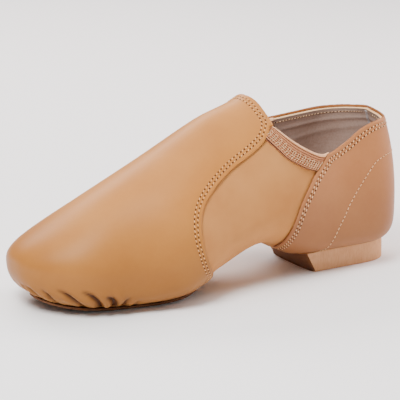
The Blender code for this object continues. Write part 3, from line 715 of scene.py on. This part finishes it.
def leather_shade(name, colours, roughness, fold=None):
    """Smooth leather: soft blotches, fine grain, painted shade that darkens it towards the floor, and
    painted shade in the vamp's folds.
    """
    shade = Shade(name, roughness, 0.15, coat=0.02)
    broad = shade.noise(28.0, 3.0)
    tone = shade.tones(colours, broad, shade.noise(420.0, 4.0), 0.10, (0.30, 0.52, 0.75), (0.35, 0.65))
    height = shade.node("SeparateXYZ", {"Vector": shade.place["Object"]}).outputs["Z"]
    # Painted shade: the colour is multiplied down towards the floor, where the lower sides turn away from
    # the light above.
    tone = shade.mix(1.0, tone, shade.span(height, 0.004, 0.060, 0.55, 1.0), "MULTIPLY")
    # Painted shade in the folds: the dark fold colour is mixed in by the first UV coordinate
    if fold:
        uv = shade.node("UVMap").outputs["UV"]
        tone = shade.mix(shade.node("SeparateXYZ", {"Vector": uv}).outputs["X"], tone, linear(fold))
    shade.feed(shade.shader, "Roughness", shade.span(broad, 0, 1, roughness - 0.05, roughness + 0.07))
    grain = shade.node("TexVoronoi", {"Vector": shade.place["Object"], "Scale": 1150.0}, feature="SMOOTH_F1")
    grain = (grain.outputs["Distance"], 0.00006, 0.28)
    return shade.finish(tone, grain, (shade.noise(90.0, 2.0), 0.0004, 0.10))


def knit_shade(name, *colours):
    """Fine ribbed stretch knit, its ribs running up the foot."""
    shade = Shade(name, 0.85, 0.12, sheen=0.04)
    ribs = shade.wave("X", 520.0, 0.6, 3.0)
    tone = shade.tones(colours, shade.noise(35.0, 3.0), ribs, 0.28, fine_stops=(0.0, 1.0))
    return shade.finish(tone, (ribs, 0.00009, 0.45), (shade.wave("Y", 700.0, 0.4, 1.0), 0.00005, 0.25))


def cloth_shade(name, *colours, scale=900.0, roughness=0.9, bump=0.3):
    shade = Shade(name, roughness, 0.12, sheen=0.05)
    fine = shade.noise(scale, 2.0)
    tone = shade.tones(colours, shade.noise(45.0, 4.0), fine, 0.3)
    return shade.finish(tone, (fine, 0.00008, bump), (shade.noise(150.0, 3.0), 0.0003, 0.25))


def heel_shade(name, *colours):
    """Heel block in sueded leather: fine upright streaks and a rough nap."""
    shade = Shade(name, 0.88, 0.14, sheen=0.05)
    streak = shade.noise(1500.0, 4.0, stretch=(1.0, 1.0, 0.22))
    tone = shade.tones(colours, streak, shade.noise(130.0, 3.0), 0.4, (0.3, 0.5, 0.72))
    return shade.finish(tone, (shade.noise(1400.0, 3.0), 0.00012, 0.5), (streak, 0.0003, 0.3))


def plain_shade(name, colour, roughness):
    colour = linear(colour)
    shade = Shade(name, roughness, 0.3)
    dark = tuple(0.75 * v for v in colour[:3]) + (1.0,)
    tone = shade.mix(0.5, colour, shade.ramp(shade.noise(800.0, 2.0), (0.3, dark), (0.7, colour)))
    return shade.finish(tone, (shade.noise(2500.0, 2.0), 0.00005, 0.3))


def circle(sides):
    turns = np.arange(sides) * 2 * math.pi / sides
    return list(zip(np.cos(turns), np.sin(turns)))


def tube_faces(rings, count, base=0):
    """Faces between rings of count points each, and a cap on either end."""
    last = base + (rings - 1) * count
    faces = []
    for start in range(base, last, count):
        for k in range(count):
            a, b = start + k, start + (k + 1) % count
            faces.append((a, b, b + count, a + count))
    return faces + [tuple(range(base, base + count))[::-1], tuple(range(last, last + count))]


def outward(points, faces):
    """The faces turned so that their normals point out of the closed solid."""
    corners = np.array([(face[0], b, c) for face in faces for b, c in zip(face[1:], face[2:])])
    a, b, c = points[corners].transpose(1, 0, 2)
    return faces if (a * np.cross(b, c)).sum() > 0 else [face[::-1] for face in faces]


def thread_piece(name, runs, radius, material, sides=6):
    """Short capsules, each through a start, a raised middle and an end."""
    steps, ring = np.linspace(0, 1, 7), circle(sides)
    points, faces = [], []
    for start, middle, end in runs:
        along = unit(end - start)
        out = middle - (start + end) / 2
        out = unit(out - along * (out @ along))
        side = np.cross(along, out)
        faces += tube_faces(len(steps), sides, len(points))
        for t in steps:
            centre = (1 - t) ** 2 * start + 2 * t * (1 - t) * middle + t * t * end
            thick = radius * math.sqrt(max(0.06, 1 - (2 * t - 1) ** 4))
            points += [centre + (side * c + out * s) * thick for c, s in ring]
    new_mesh(name, points, faces, [material])


def hole_piece(name, spots, radius, material, sides=9):
    """Small discs, slightly domed, where the needle went through, dark as painted shade inside the holes."""
    points, faces = [], []
    for centre, normal, along in spots:
        along = unit(along - normal * (along @ normal))
        side = np.cross(normal, along)
        base = len(points)
        points.append(centre + normal * 0.00016)
        rim = [(along * c * 1.15 + side * s) * radius + normal * 0.00006 for c, s in circle(sides)]
        points += [centre + reach for reach in rim]
        faces += [(base, base + 1 + k, base + 1 + (k + 1) % sides) for k in range(sides)]
    new_mesh(name, points, faces, [material])


class Skin:
    """Finds places on the outer face of a sheet."""

    def __init__(self, sheet, offsets):
        self.sheet = sheet
        self.outer = sheet.points + sheet.normals * offsets[:, None]
        self.tree = BVHTree.FromPolygons([Vector(p) for p in self.outer], sheet.faces)

    def at(self, point):
        hit, _, face, _ = self.tree.find_nearest(Vector(point))
        hit = np.array(hit)
        near = min(self.sheet.faces[face], key=lambda v: float(((self.outer[v] - hit) ** 2).sum()))
        return hit, self.sheet.normals[near]

    def offset_path(self, path, distance, inward):
        """The path moved over the skin by a distance, to its left where inward is 1."""
        moved = []
        for point, along in zip(path, np.gradient(path, axis=0)):
            spot, normal = self.at(point)
            moved.append(self.at(spot + unit(np.cross(normal, along)) * inward * distance)[0])
        moved = np.array(moved)
        return moved[distance_to(moved, path) > distance * 0.93]


# Places and sizes of the stitches. The counter row is the single one round the stiffened heel, in shares
# of SHOE_LENGTH and of the wall.
STITCH_PITCH = 0.00265
STITCH_LIFT = 0.00012
COUNTER_PITCH = 0.0025
COUNTER_ROW = (
    (0.0004, 0.765), (0.012, 0.77), (0.03, 0.778), (0.0642, 0.79), (0.0963, 0.798), (0.1124, 0.788),
    (0.1284, 0.759), (0.1498, 0.716), (0.1739, 0.668), (0.1953, 0.611), (0.2114, 0.544),
    (0.2274, 0.482), (0.24, 0.406), (0.246, 0.33), (0.247, 0.26),
)


def stitch_row(skin, line, length, slant, spots, runs):
    """A hole at each place of a line, and a run of thread from each to the next."""
    tangent = unit(np.gradient(line, axis=0))
    for k, place in enumerate(line):
        spot, normal = skin.at(place)
        spots.append((spot, normal, tangent[k]))
        if k + 1 < len(line):
            ahead, ahead_normal = skin.at(line[k + 1])
            gap, middle = ahead - spot, (spot + ahead) / 2
            top, top_normal = skin.at(middle)
            half = (gap + np.cross(top_normal, gap) * slant) * length / 2
            start = middle - half + normal * STITCH_LIFT * 0.2
            end = middle + half + ahead_normal * STITCH_LIFT * 0.2
            runs.append((start, top + top_normal * STITCH_LIFT * 2, end))


def edge_seam(skin, path, inward, kind, name, material):
    """Two rows of stitches beside a free edge, the second half a pitch on."""
    spots, runs = [], []
    for distance, shift in STITCH_ROWS.items():
        line = resample(skin.offset_path(path, distance, inward), STITCH_PITCH)
        if shift:
            line = line[:-1] + np.diff(line, axis=0) * shift
        stitch_row(skin, line, 0.46, 0.45, spots, runs)
    thread_piece(kind + "_stitches" + name, runs, 0.00024, material)
    hole_piece(kind + "_stitch_holes" + name, spots, 0.00050, painted_hole_shade)


def counter_seam(skin, side, name):
    spots, runs = [], []
    line = resample(wall_line(COUNTER_ROW, side, 200), COUNTER_PITCH)
    stitch_row(skin, line, 0.66, 0.0, spots, runs)
    thread_piece("counter_stitches" + name, runs, 0.00019, pale_thread)
    hole_piece("counter_stitch_holes" + name, spots, 0.00026, painted_hole_shade)


# The inside of the collar
LINING_FACE = -LEATHER - GAP - UPPER_WALL
LINING_PITCH = 0.0021
LINING_ROW = 0.0046
LINING_SEAM_END = 0.245
TAPE_ENDS = (0.0026, 0.052)
TAPE_STATION = 0.0034 / 4.2


def lining_seam():
    """One row of stitches along the lining's edge, on both sides."""
    spots, runs = [], []
    for side in (1, -1):
        station = np.linspace(0.004, LINING_SEAM_END * SHOE_LENGTH, 300)
        up = 1 - LINING_ROW / WALL_LENGTH
        line = wall_point(station, side, up) + wall_normal(station, side, up) * (LINING_FACE - 0.00005)
        line = resample(line, LINING_PITCH)
        for spot, ahead, into in zip(line, line[1:], np.gradient(line, axis=0)):
            out = unit(np.cross(into, (0.0, 0.0, 1.0)))
            out = out if out[1] * side < 0 else -out
            spots.append((spot, out, into))
            half, middle = (ahead - spot) * 0.27, (ahead + spot) / 2
            drop = np.array((0.0, 0.0, 0.0002))
            runs.append((middle - half + drop, middle + out * 0.00025, middle + half - drop))
    thread_piece("lining_stitches", runs, 0.00020, pale_thread)
    hole_piece("lining_stitch_holes", spots, 0.00030, painted_hole_shade)


def back_tape(material):
    """The tape over the back seam, inside the collar."""
    tape = Sheet()
    rows = 1 - np.linspace(*TAPE_ENDS, 40) / WALL_LENGTH
    across = TAPE_STATION * np.linspace(0, 1, 8)[:, None] ** 2
    for side in (1, -1):
        tape.add(*np.broadcast_arrays(across, rows), side)
    tape.gather()
    outside = LINING_FACE - 0.00008 - lining_folds(tape)
    thick_sheet("back_seam_tape", tape, outside, outside - 0.0003, [material])


def seat_heights(offset):
    """A function for the height of the form's underside moved by an offset, plus a rise along its normal."""
    columns = refine(np.linspace(0, 1, 12), 4) * TOE_CAP_START
    station = np.concatenate([columns, ring_station(np.linspace(0.98, 0, 26))])
    sheet = Sheet()
    for side in (1, -1):
        sheet.add(*np.broadcast_arrays(station[:, None], np.linspace(0, 0.62, 46)), side)
    sheet.gather()
    tree = BVHTree.FromPolygons([Vector(p) for p in sheet.points + sheet.normals * offset], sheet.faces)

    def height(plan, rise=0.0):
        hits = [tree.ray_cast(Vector((x, y, -COLLAR_HEIGHT)), Vector((0, 0, 1))) for x, y in plan]
        return np.array([hit.z + rise / max(abs(normal.z), 0.25) for hit, normal, _, _ in hits])

    return height


def reach_at(x, side):
    """Half width of the form at a place along the shoe."""
    along = np.maximum(x, HEEL_AXIS) / SHOE_LENGTH
    half = BALL_WIDTH * interpolate(SECTIONS, 1 if side > 0 else 2, along, flat_start=True)
    half = half * rounded(progress(x, HEEL_AXIS, 0), HEEL_ROUND)
    return half * rounded(progress(x, TOE_CAP_START, SHOE_LENGTH), TOE_ROUND)


def end_taper(x, run_start, run_end, bend):
    """Share of the full width along a plan whose two ends are rounded over a run."""
    near = rounded(progress(x, x[0] + run_start, x[0]), bend)
    return near * rounded(progress(x, x[-1] - run_end, x[-1]), bend)


def stations(start, end, count):
    """Places from start to end, closer together near both."""
    return start + (end - start) * (1 - np.cos(np.pi * np.linspace(0, 1, count))) / 2


PLATE_RINGS = (0.08, 0.3, 0.52, 0.72, 0.86, 0.95)
PLATE_EDGE = 0.0006


def rounded_plate(name, x, left, right, pitch, top, bottom, materials, shear, wall_steps):
    """A closed plate from half widths at stations: rounded rims, and rings that follow top and bottom."""
    middle = centre_shift(x)
    halves = [np.stack([x, y, 0 * x], -1) for y in (middle + left, middle - right)]
    line = resample(np.concatenate([halves[0], halves[1][::-1][1:]]), pitch)[:-1, :2]
    centre = (line.max(0) + line.min(0)) / 2
    out = np.roll(line, -1, 0) - np.roll(line, 1, 0)
    out = unit(np.stack([out[:, 1], -out[:, 0]], -1))
    if ((line - centre) * out).sum() < 0:
        out = -out
    inner = line - out * PLATE_EDGE
    inside = [centre + (inner - centre) * s for s in PLATE_RINGS]
    rings = [("bottom", 0.0, plan) for plan in inside]
    for a in np.radians((0, 22, 45, 68, 90)):
        rings.append(("bottom", PLATE_EDGE * (1 - math.cos(a)), inner + out * PLATE_EDGE * math.sin(a)))
    rings += [(t, 0.0, line) for t in np.linspace(0, 1, wall_steps + 2)[1:-1]]
    for a in np.radians((90, 60, 30, 0)):
        rings.append(("top", -PLATE_EDGE * 0.6 * (1 - math.cos(a)), inner + out * PLATE_EDGE * math.sin(a)))
    rings += [("top", 0.0, plan) for plan in reversed(inside)]
    points = []
    for kind, lift, plan in rings:
        low, moved = bottom(plan), shear(plan)
        high = top(moved)
        if kind == "bottom":
            z, part = low + lift, lift / np.maximum(high - low, 1e-6)
        elif kind == "top":
            z, part = high + lift, 1 + lift / np.maximum(high - low, 1e-6)
        else:
            z, part = low + PLATE_EDGE + (high - low - 1.6 * PLATE_EDGE) * kind, np.full(len(low), kind)
        points.append(np.column_stack([plan + (moved - plan) * np.clip(part, 0, 1)[:, None], z]))
    points, count = np.concatenate(points), len(line)
    ground = len(PLATE_RINGS) * count
    kinds = [0] * ground + [1] * ((len(rings) - 1) * count - ground) + [0, 1]
    return new_mesh(name, points, outward(points, tube_faces(len(rings), count)), materials, kinds)


HEEL_SEAT_CLEARANCE = 0.0005
HEEL_BEND = 2.7
SOLE_ROUNDS = (0.10 * SHOE_LENGTH, 0.16 * SHOE_LENGTH)
SOLE_BEND = 2.2


def build_heel(materials):
    x = stations(HEEL_INSET, HEEL_BLOCK_END, 120)
    half = HEEL_BLOCK_WIDTH / 2 * end_taper(x, HEEL_BLOCK_ROUND, HEEL_CORNER_RADIUS, HEEL_BEND)
    lean = HEEL_BREAST_LEAN / (HEEL_BLOCK_END - HEEL_INSET)
    shear = lambda plan: np.column_stack([plan[:, 0] + (plan[:, 0] - HEEL_INSET) * lean, plan[:, 1]])
    ground = lambda plan: np.zeros(len(plan))
    top = seat_heights(HEEL_SEAT_CLEARANCE)
    piece = rounded_plate("heel_block", x, half, half, 0.0008, top, ground, materials, shear, 12)
    # Painted shade: the breast faces, turned to the toe, take the dark suede colour of the sole.
    for face in piece.data.polygons:
        if face.normal.x > 0.6:
            face.material_index = 0
    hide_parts("heel")


def build_sole(material):
    x = stations(SOLE_START * SHOE_LENGTH, SHOE_LENGTH - SOLE_TOE_INSET, 160)
    held = np.minimum(x, TOE_CAP_START)
    taper = SOLE_SHARE * end_taper(x, *SOLE_ROUNDS, SOLE_BEND)
    left, right = (reach_at(held, side) * taper for side in (1, -1))
    seat = seat_heights(SEAT_CLEARANCE)
    bottom = lambda plan: np.maximum(seat(plan, -SOLE_THICKNESS), 0.0)
    shear = lambda plan: plan
    piece = rounded_plate("sole_patch", x, left, right, 0.0012, seat, bottom, [material] * 2, shear, 5)
    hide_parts("forefoot_sole")


# The elastic: where its lower line stops following the rim, its rows, its fold and its ribs
STRAIGHT_FROM = 0.388
BAND_COLUMNS = 150
BAND_ROWS = 92
BAND_FOLD = 0.0016
BAND_TUCK = 0.0022
RIBS = 8.0
RIB_HEIGHT = 0.00022
BAND_UNDER = -LEATHER - 0.0002


def straight_on(station, side, up):
    """The rib shares of a line that keeps its slope past the throat, where the rim turns."""
    first = np.searchsorted(station, STRAIGHT_FROM * SHOE_LENGTH)
    if first >= len(station) - 1:
        return up
    height = wall_point(station[first - 8:first + 1], side, up[first - 8:first + 1])[:, 2]
    slope = (height[-1] - height[0]) / (station[first] - station[first - 8])
    beyond = station[first + 1:, None]
    wanted = height[-1] + slope * (beyond[:, 0] - station[first])
    shares = np.linspace(0.7, 1.0, 90)
    walls = wall_point(beyond, side, shares)[..., 2]
    return np.concatenate([up[:first + 1], [np.interp(z, wall, shares) for z, wall in zip(wanted, walls)]])


def rib_wave(share):
    return abs(math.sin(math.pi * RIBS * share))


def build_elastic(side, materials):
    """Woven elastic folded over the gore's top edge, with lengthwise ribs. Returns its outer face."""
    along = np.linspace(0, 1, BAND_COLUMNS)
    height = ELASTIC_HEIGHT * interpolate(ELASTIC_DEPTHS, 1, along)
    row = np.linspace(0, 1, 400)
    (at_q, up_q), (at_v, up_v) = seam(QUARTER_EDGE, row), seam(VAMP_EDGE, row)
    face_out = -LEATHER - GAP + FOLD_CLEARANCE + ELASTIC_THICKNESS
    face_in = -LEATHER - GAP - UPPER_WALL - FOLD_CLEARANCE - ELASTIC_THICKNESS
    middle, half = (face_out + face_in) / 2, (face_out - face_in) / 2
    profile = [("out", share) for share in np.linspace(1, 0, BAND_ROWS)]
    profile += [("fold", turn) for turn in np.linspace(0, 180, 15)[1:-1]]
    profile += [("in", share) for share in np.linspace(0, 1, 24)]
    profile += [("back_in", share) for share in np.linspace(1, 0, 10)]
    profile += [("back_out", share) for share in np.linspace(0, 1, 10)]
    rings, kinds = [], []
    for kind, value in profile:
        sunk = 0.0 if kind in ("in", "back_in") else 1.0
        groove = kind == "out" and value > 0.965
        if kind in ("out", "in"):
            depth = BAND_FOLD + (height - BAND_FOLD) * value
            ridge = RIB_HEIGHT * (rib_wave(value) ** 0.6 - 0.8)
            offset = face_out + ridge if kind == "out" else face_in - ridge
            groove = groove or (rib_wave(value) < 0.42 and value > 0.03)
        elif kind == "fold":
            a = math.radians(value)
            depth = BAND_FOLD * (1 - math.sin(a))
            offset = middle + half * math.cos(a) * (1 - 0.12 * math.sin(a) ** 2)
            sunk = (1 + math.cos(a)) / 2
        else:
            depth = ELASTIC_THICKNESS * 1.3 + (height - ELASTIC_THICKNESS * 1.3) * value
            offset = face_in + ELASTIC_THICKNESS if kind == "back_in" else face_out - ELASTIC_THICKNESS
        # Painted shade: faces in the troughs between the ribs, and along the band's lower edge, take the
        # dark groove colour.
        kinds.append(1 if groove else 2 if kind == "fold" or value < 0.05 else 0)
        up = 1 - depth * np.ones(BAND_COLUMNS) / WALL_LENGTH
        start = np.interp(up[0], up_q, at_q) - BAND_TUCK
        end = np.interp(up[-1], up_v, at_v) + BAND_TUCK
        station = start + (end - start) * along
        up = straight_on(station, side, up)
        near = np.minimum(along, 1 - along) * (end - start) - BAND_TUCK * 0.8
        offset = offset + (BAND_UNDER - face_out) * sunk * smooth(progress(near, 0.0016, 0))
        rings.append(wall_point(station, side, up) + wall_normal(station, side, up) * offset[:, None])
    rings = np.array(rings)
    points = rings.transpose(1, 0, 2).reshape(-1, 3)
    kinds = kinds * (BAND_COLUMNS - 1) + [0, 0]
    name = SIDE_NAMES[side]
    faces = outward(points, tube_faces(BAND_COLUMNS, len(profile)))
    piece = new_mesh("elastic_band_" + name, points, faces, materials, kinds)
    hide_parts("elastic_" + name)
    return rings[:BAND_ROWS]


# One unit of the lattice over the ribs: its length, its first place and each thread's two ends, as shares
# of the unit and of the band's depth
LATTICE_UNIT = 0.0034
LATTICE_START = 0.0026
LATTICE = (
    ((0.00, 0.93), (0.06, 0.66)), ((0.06, 0.66), (0.10, 0.36)), ((0.10, 0.36), (0.55, 0.42)),
    ((0.55, 0.42), (0.50, 0.68)), ((0.06, 0.66), (0.50, 0.68)), ((0.50, 0.68), (0.47, 0.90)),
)


def elastic_stitches(name, rings, material):
    """Lattice of pale thread over the ribs."""
    count, columns = rings.shape[:2]
    run = run_along(rings[count // 2])

    def at(distance, share):
        c, r = np.interp(distance, run, np.arange(columns)), (1 - share) * (count - 1)
        i, j = int(min(r, count - 2)), int(min(c, columns - 2))
        low, high = (row[j] * (1 - (c - j)) + row[j + 1] * (c - j) for row in rings[i:i + 2])
        point = low * (1 - (r - i)) + high * (r - i)
        out = unit(np.cross(rings[i + 1, j] - rings[i, j], rings[i, j + 1] - rings[i, j]))
        return point, out if out[1] * point[1] >= 0 else -out

    runs = []
    for start in np.arange(LATTICE_START, run[-1] - BAND_TUCK - LATTICE_UNIT, LATTICE_UNIT):
        for ends in LATTICE:
            (first, out), (last, out2) = (at(start + place * LATTICE_UNIT, share) for place, share in ends)
            middle = (first + last) / 2 + (out + out2) * 0.00022
            runs.append((first + out * 0.00005, middle, last + out2 * 0.00005))
    thread_piece(name, runs, 0.00013, material, 5)


CAMERA_AIM = Vector((0.0867, 0.0, 0.042))
CAMERA_AZIMUTH = 32.896
CAMERA_ELEVATION = 16.230
CAMERA_ROLL = 0.755
CAMERA_DISTANCE = 1.2604
CAMERA_LENS = 205.99
CAMERA_SHIFT = (-0.0215, 0.01505)


def build_camera():
    a, e, roll = (math.radians(v) for v in (CAMERA_AZIMUTH, CAMERA_ELEVATION, CAMERA_ROLL))
    back = Vector((math.sin(a) * math.cos(e), math.cos(a) * math.cos(e), math.sin(e)))
    right = Vector((-math.cos(a), math.sin(a), 0))
    up = back.cross(right)
    turned_right = right * math.cos(roll) + up * math.sin(roll)
    turned_up = up * math.cos(roll) - right * math.sin(roll)
    data = bpy.data.cameras.new("camera")
    data.sensor_width = 36
    data.lens = CAMERA_LENS
    data.shift_x, data.shift_y = CAMERA_SHIFT
    camera = bpy.data.objects.new("camera", data)
    place = Matrix((turned_right, turned_up, back)).transposed().to_4x4()
    place.translation = CAMERA_AIM + back * CAMERA_DISTANCE
    camera.matrix_world = place
    bpy.context.scene.collection.objects.link(camera)
    bpy.context.scene.camera = camera


# Each area light's place, aim, size, power and colour
LIGHTS = {
    "key": ((0.66, 0.30, 0.95), (0.09, 0, 0.04), (0.45, 0.45), 17.0, (1, 1, 1)),
    "fill": ((0.1, 1.2, 0.55), (0.05, 0, 0.04), (0.6, 0.6), 1.5, (1, 1, 1)),
    "back": ((0.05, -0.85, 0.75), (0.09, 0, 0.06), (0.8, 0.5), 13.0, (1.0, 0.90, 0.88)),
    "heel_rim": ((-0.75, 0.05, 0.45), (0.0, 0, 0.05), (0.4, 0.5), 8.0, (1.0, 0.84, 0.82)),
    "floor_wash": ((0.0, 0.0, 2.2), (0.0, 0, 0.0), (2.5, 2.5), 36.0, (1, 1, 1)),
}
WORLD_STRENGTH = 0.24
FLOOR_HALF = 4


def build_studio():
    world = bpy.data.worlds.new("studio")
    bpy.context.scene.world = world
    world.use_nodes = True
    background = world.node_tree.nodes["Background"].inputs
    background["Color"].default_value = (1.0, 0.99, 0.97, 1)
    background["Strength"].default_value = WORLD_STRENGTH
    mesh = bpy.data.meshes.new("floor")
    corners = [(x * FLOOR_HALF, y * FLOOR_HALF, 0) for x, y in ((-1, -1), (1, -1), (1, 1), (-1, 1))]
    mesh.from_pydata(corners, [], [(0, 1, 2, 3)])
    floor = bpy.data.objects.new("floor", mesh)
    bpy.context.scene.collection.objects.link(floor)
    mesh.materials.append(Shade("floor_paper", 0.8, 0.2).finish((0.97, 0.97, 0.97, 1)))
    for name, (place, aim, size, power, colour) in LIGHTS.items():
        data = bpy.data.lights.new(name, "AREA")
        data.shape = "RECTANGLE"
        data.size, data.size_y = size
        data.energy = power
        data.color = colour
        light = bpy.data.objects.new(name, data)
        turn = (Vector(aim) - Vector(place)).to_track_quat("-Z", "Y").to_matrix().to_4x4()
        light.matrix_world = Matrix.Translation(place) @ turn
        bpy.context.scene.collection.objects.link(light)


# Colours are the base, the pale and the dark one, in 0 to 255
# The vamp's last colour is the painted shade in its folds
leather = leather_shade("vamp_leather", ((186, 122, 57), (192, 128, 62), (178, 114, 51)), 0.42, (70, 38, 18))
# The quarters' leather is darker and pinker than the vamp's: partly its own tone, partly painted shade of
# panels facing away from the light.
quarter_leather = leather_shade("quarter_leather", ((174, 114, 70), (182, 122, 77), (165, 105, 63)), 0.46)
# The cut leather edge: its own darker colour, deepened as painted shade for the dark line along the edges.
leather_edge = plain_shade("leather_edge", (128, 76, 40), 0.85)
knit = knit_shade("stretch_knit", (190, 130, 72), (199, 140, 82), (176, 115, 60))
lining = cloth_shade("lining", (172, 146, 132), (188, 163, 150), (152, 126, 112))
lining_edge = cloth_shade("lining_edge", (240, 200, 150), (244, 210, 166), (224, 176, 124), roughness=0.8)
band = cloth_shade("elastic_web", (184, 122, 84), (200, 140, 100), (162, 100, 64), scale=1600.0)
# Painted shade in the elastic's grooves
band_groove_shade = plain_shade("elastic_groove_shade", (58, 26, 12), 0.9)
band_fold = cloth_shade("elastic_fold", (228, 178, 136), (238, 196, 158), (212, 158, 112), scale=1600.0)
suede = cloth_shade("sole_suede", (104, 66, 42), (122, 82, 54), (84, 50, 30), scale=700.0, bump=0.5)
heel_suede = heel_shade("heel_suede", (210, 156, 112), (219, 168, 126), (199, 144, 100))
thread = plain_shade("thread", (228, 176, 118), 0.75)
pale_thread = plain_shade("pale_thread", (238, 198, 150), 0.75)
# Painted shade of the needle holes, on small discs over the leather
painted_hole_shade = plain_shade("needle_hole_shade", (78, 40, 20), 0.9)
tape_cloth = cloth_shade("seam_tape", (176, 166, 164), (190, 182, 182), (156, 144, 140), scale=1400.0)
sock_cloth = cloth_shade("sock_cloth", (156, 128, 108), (170, 142, 122), (136, 108, 90))

build_camera()
build_studio()

vamp_skin = build_vamp([leather, leather, leather_edge])
quarters = {side: build_quarter(side, [quarter_leather, quarter_leather, leather_edge]) for side in (1, -1)}
build_upper([knit, lining, lining_edge])
for side, name in SIDE_NAMES.items():
    face = build_elastic(side, [band, band_groove_shade, band_fold])
    elastic_stitches("elastic_stitches_" + name, face, pale_thread)
build_heel([suede, heel_suede])
build_sole(suede)
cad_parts["insole"].data.materials.clear()
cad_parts["insole"].data.materials.append(sock_cloth)

edge_seam(vamp_skin, vamp_edge_path(), 1, "vamp", "", thread)
for side, skin in quarters.items():
    edge_seam(skin, quarter_edge_path(side), -side, "quarter", "_" + SIDE_NAMES[side], pale_thread)
    counter_seam(skin, side, "_" + SIDE_NAMES[side])
lining_seam()
back_tape(tape_cloth)
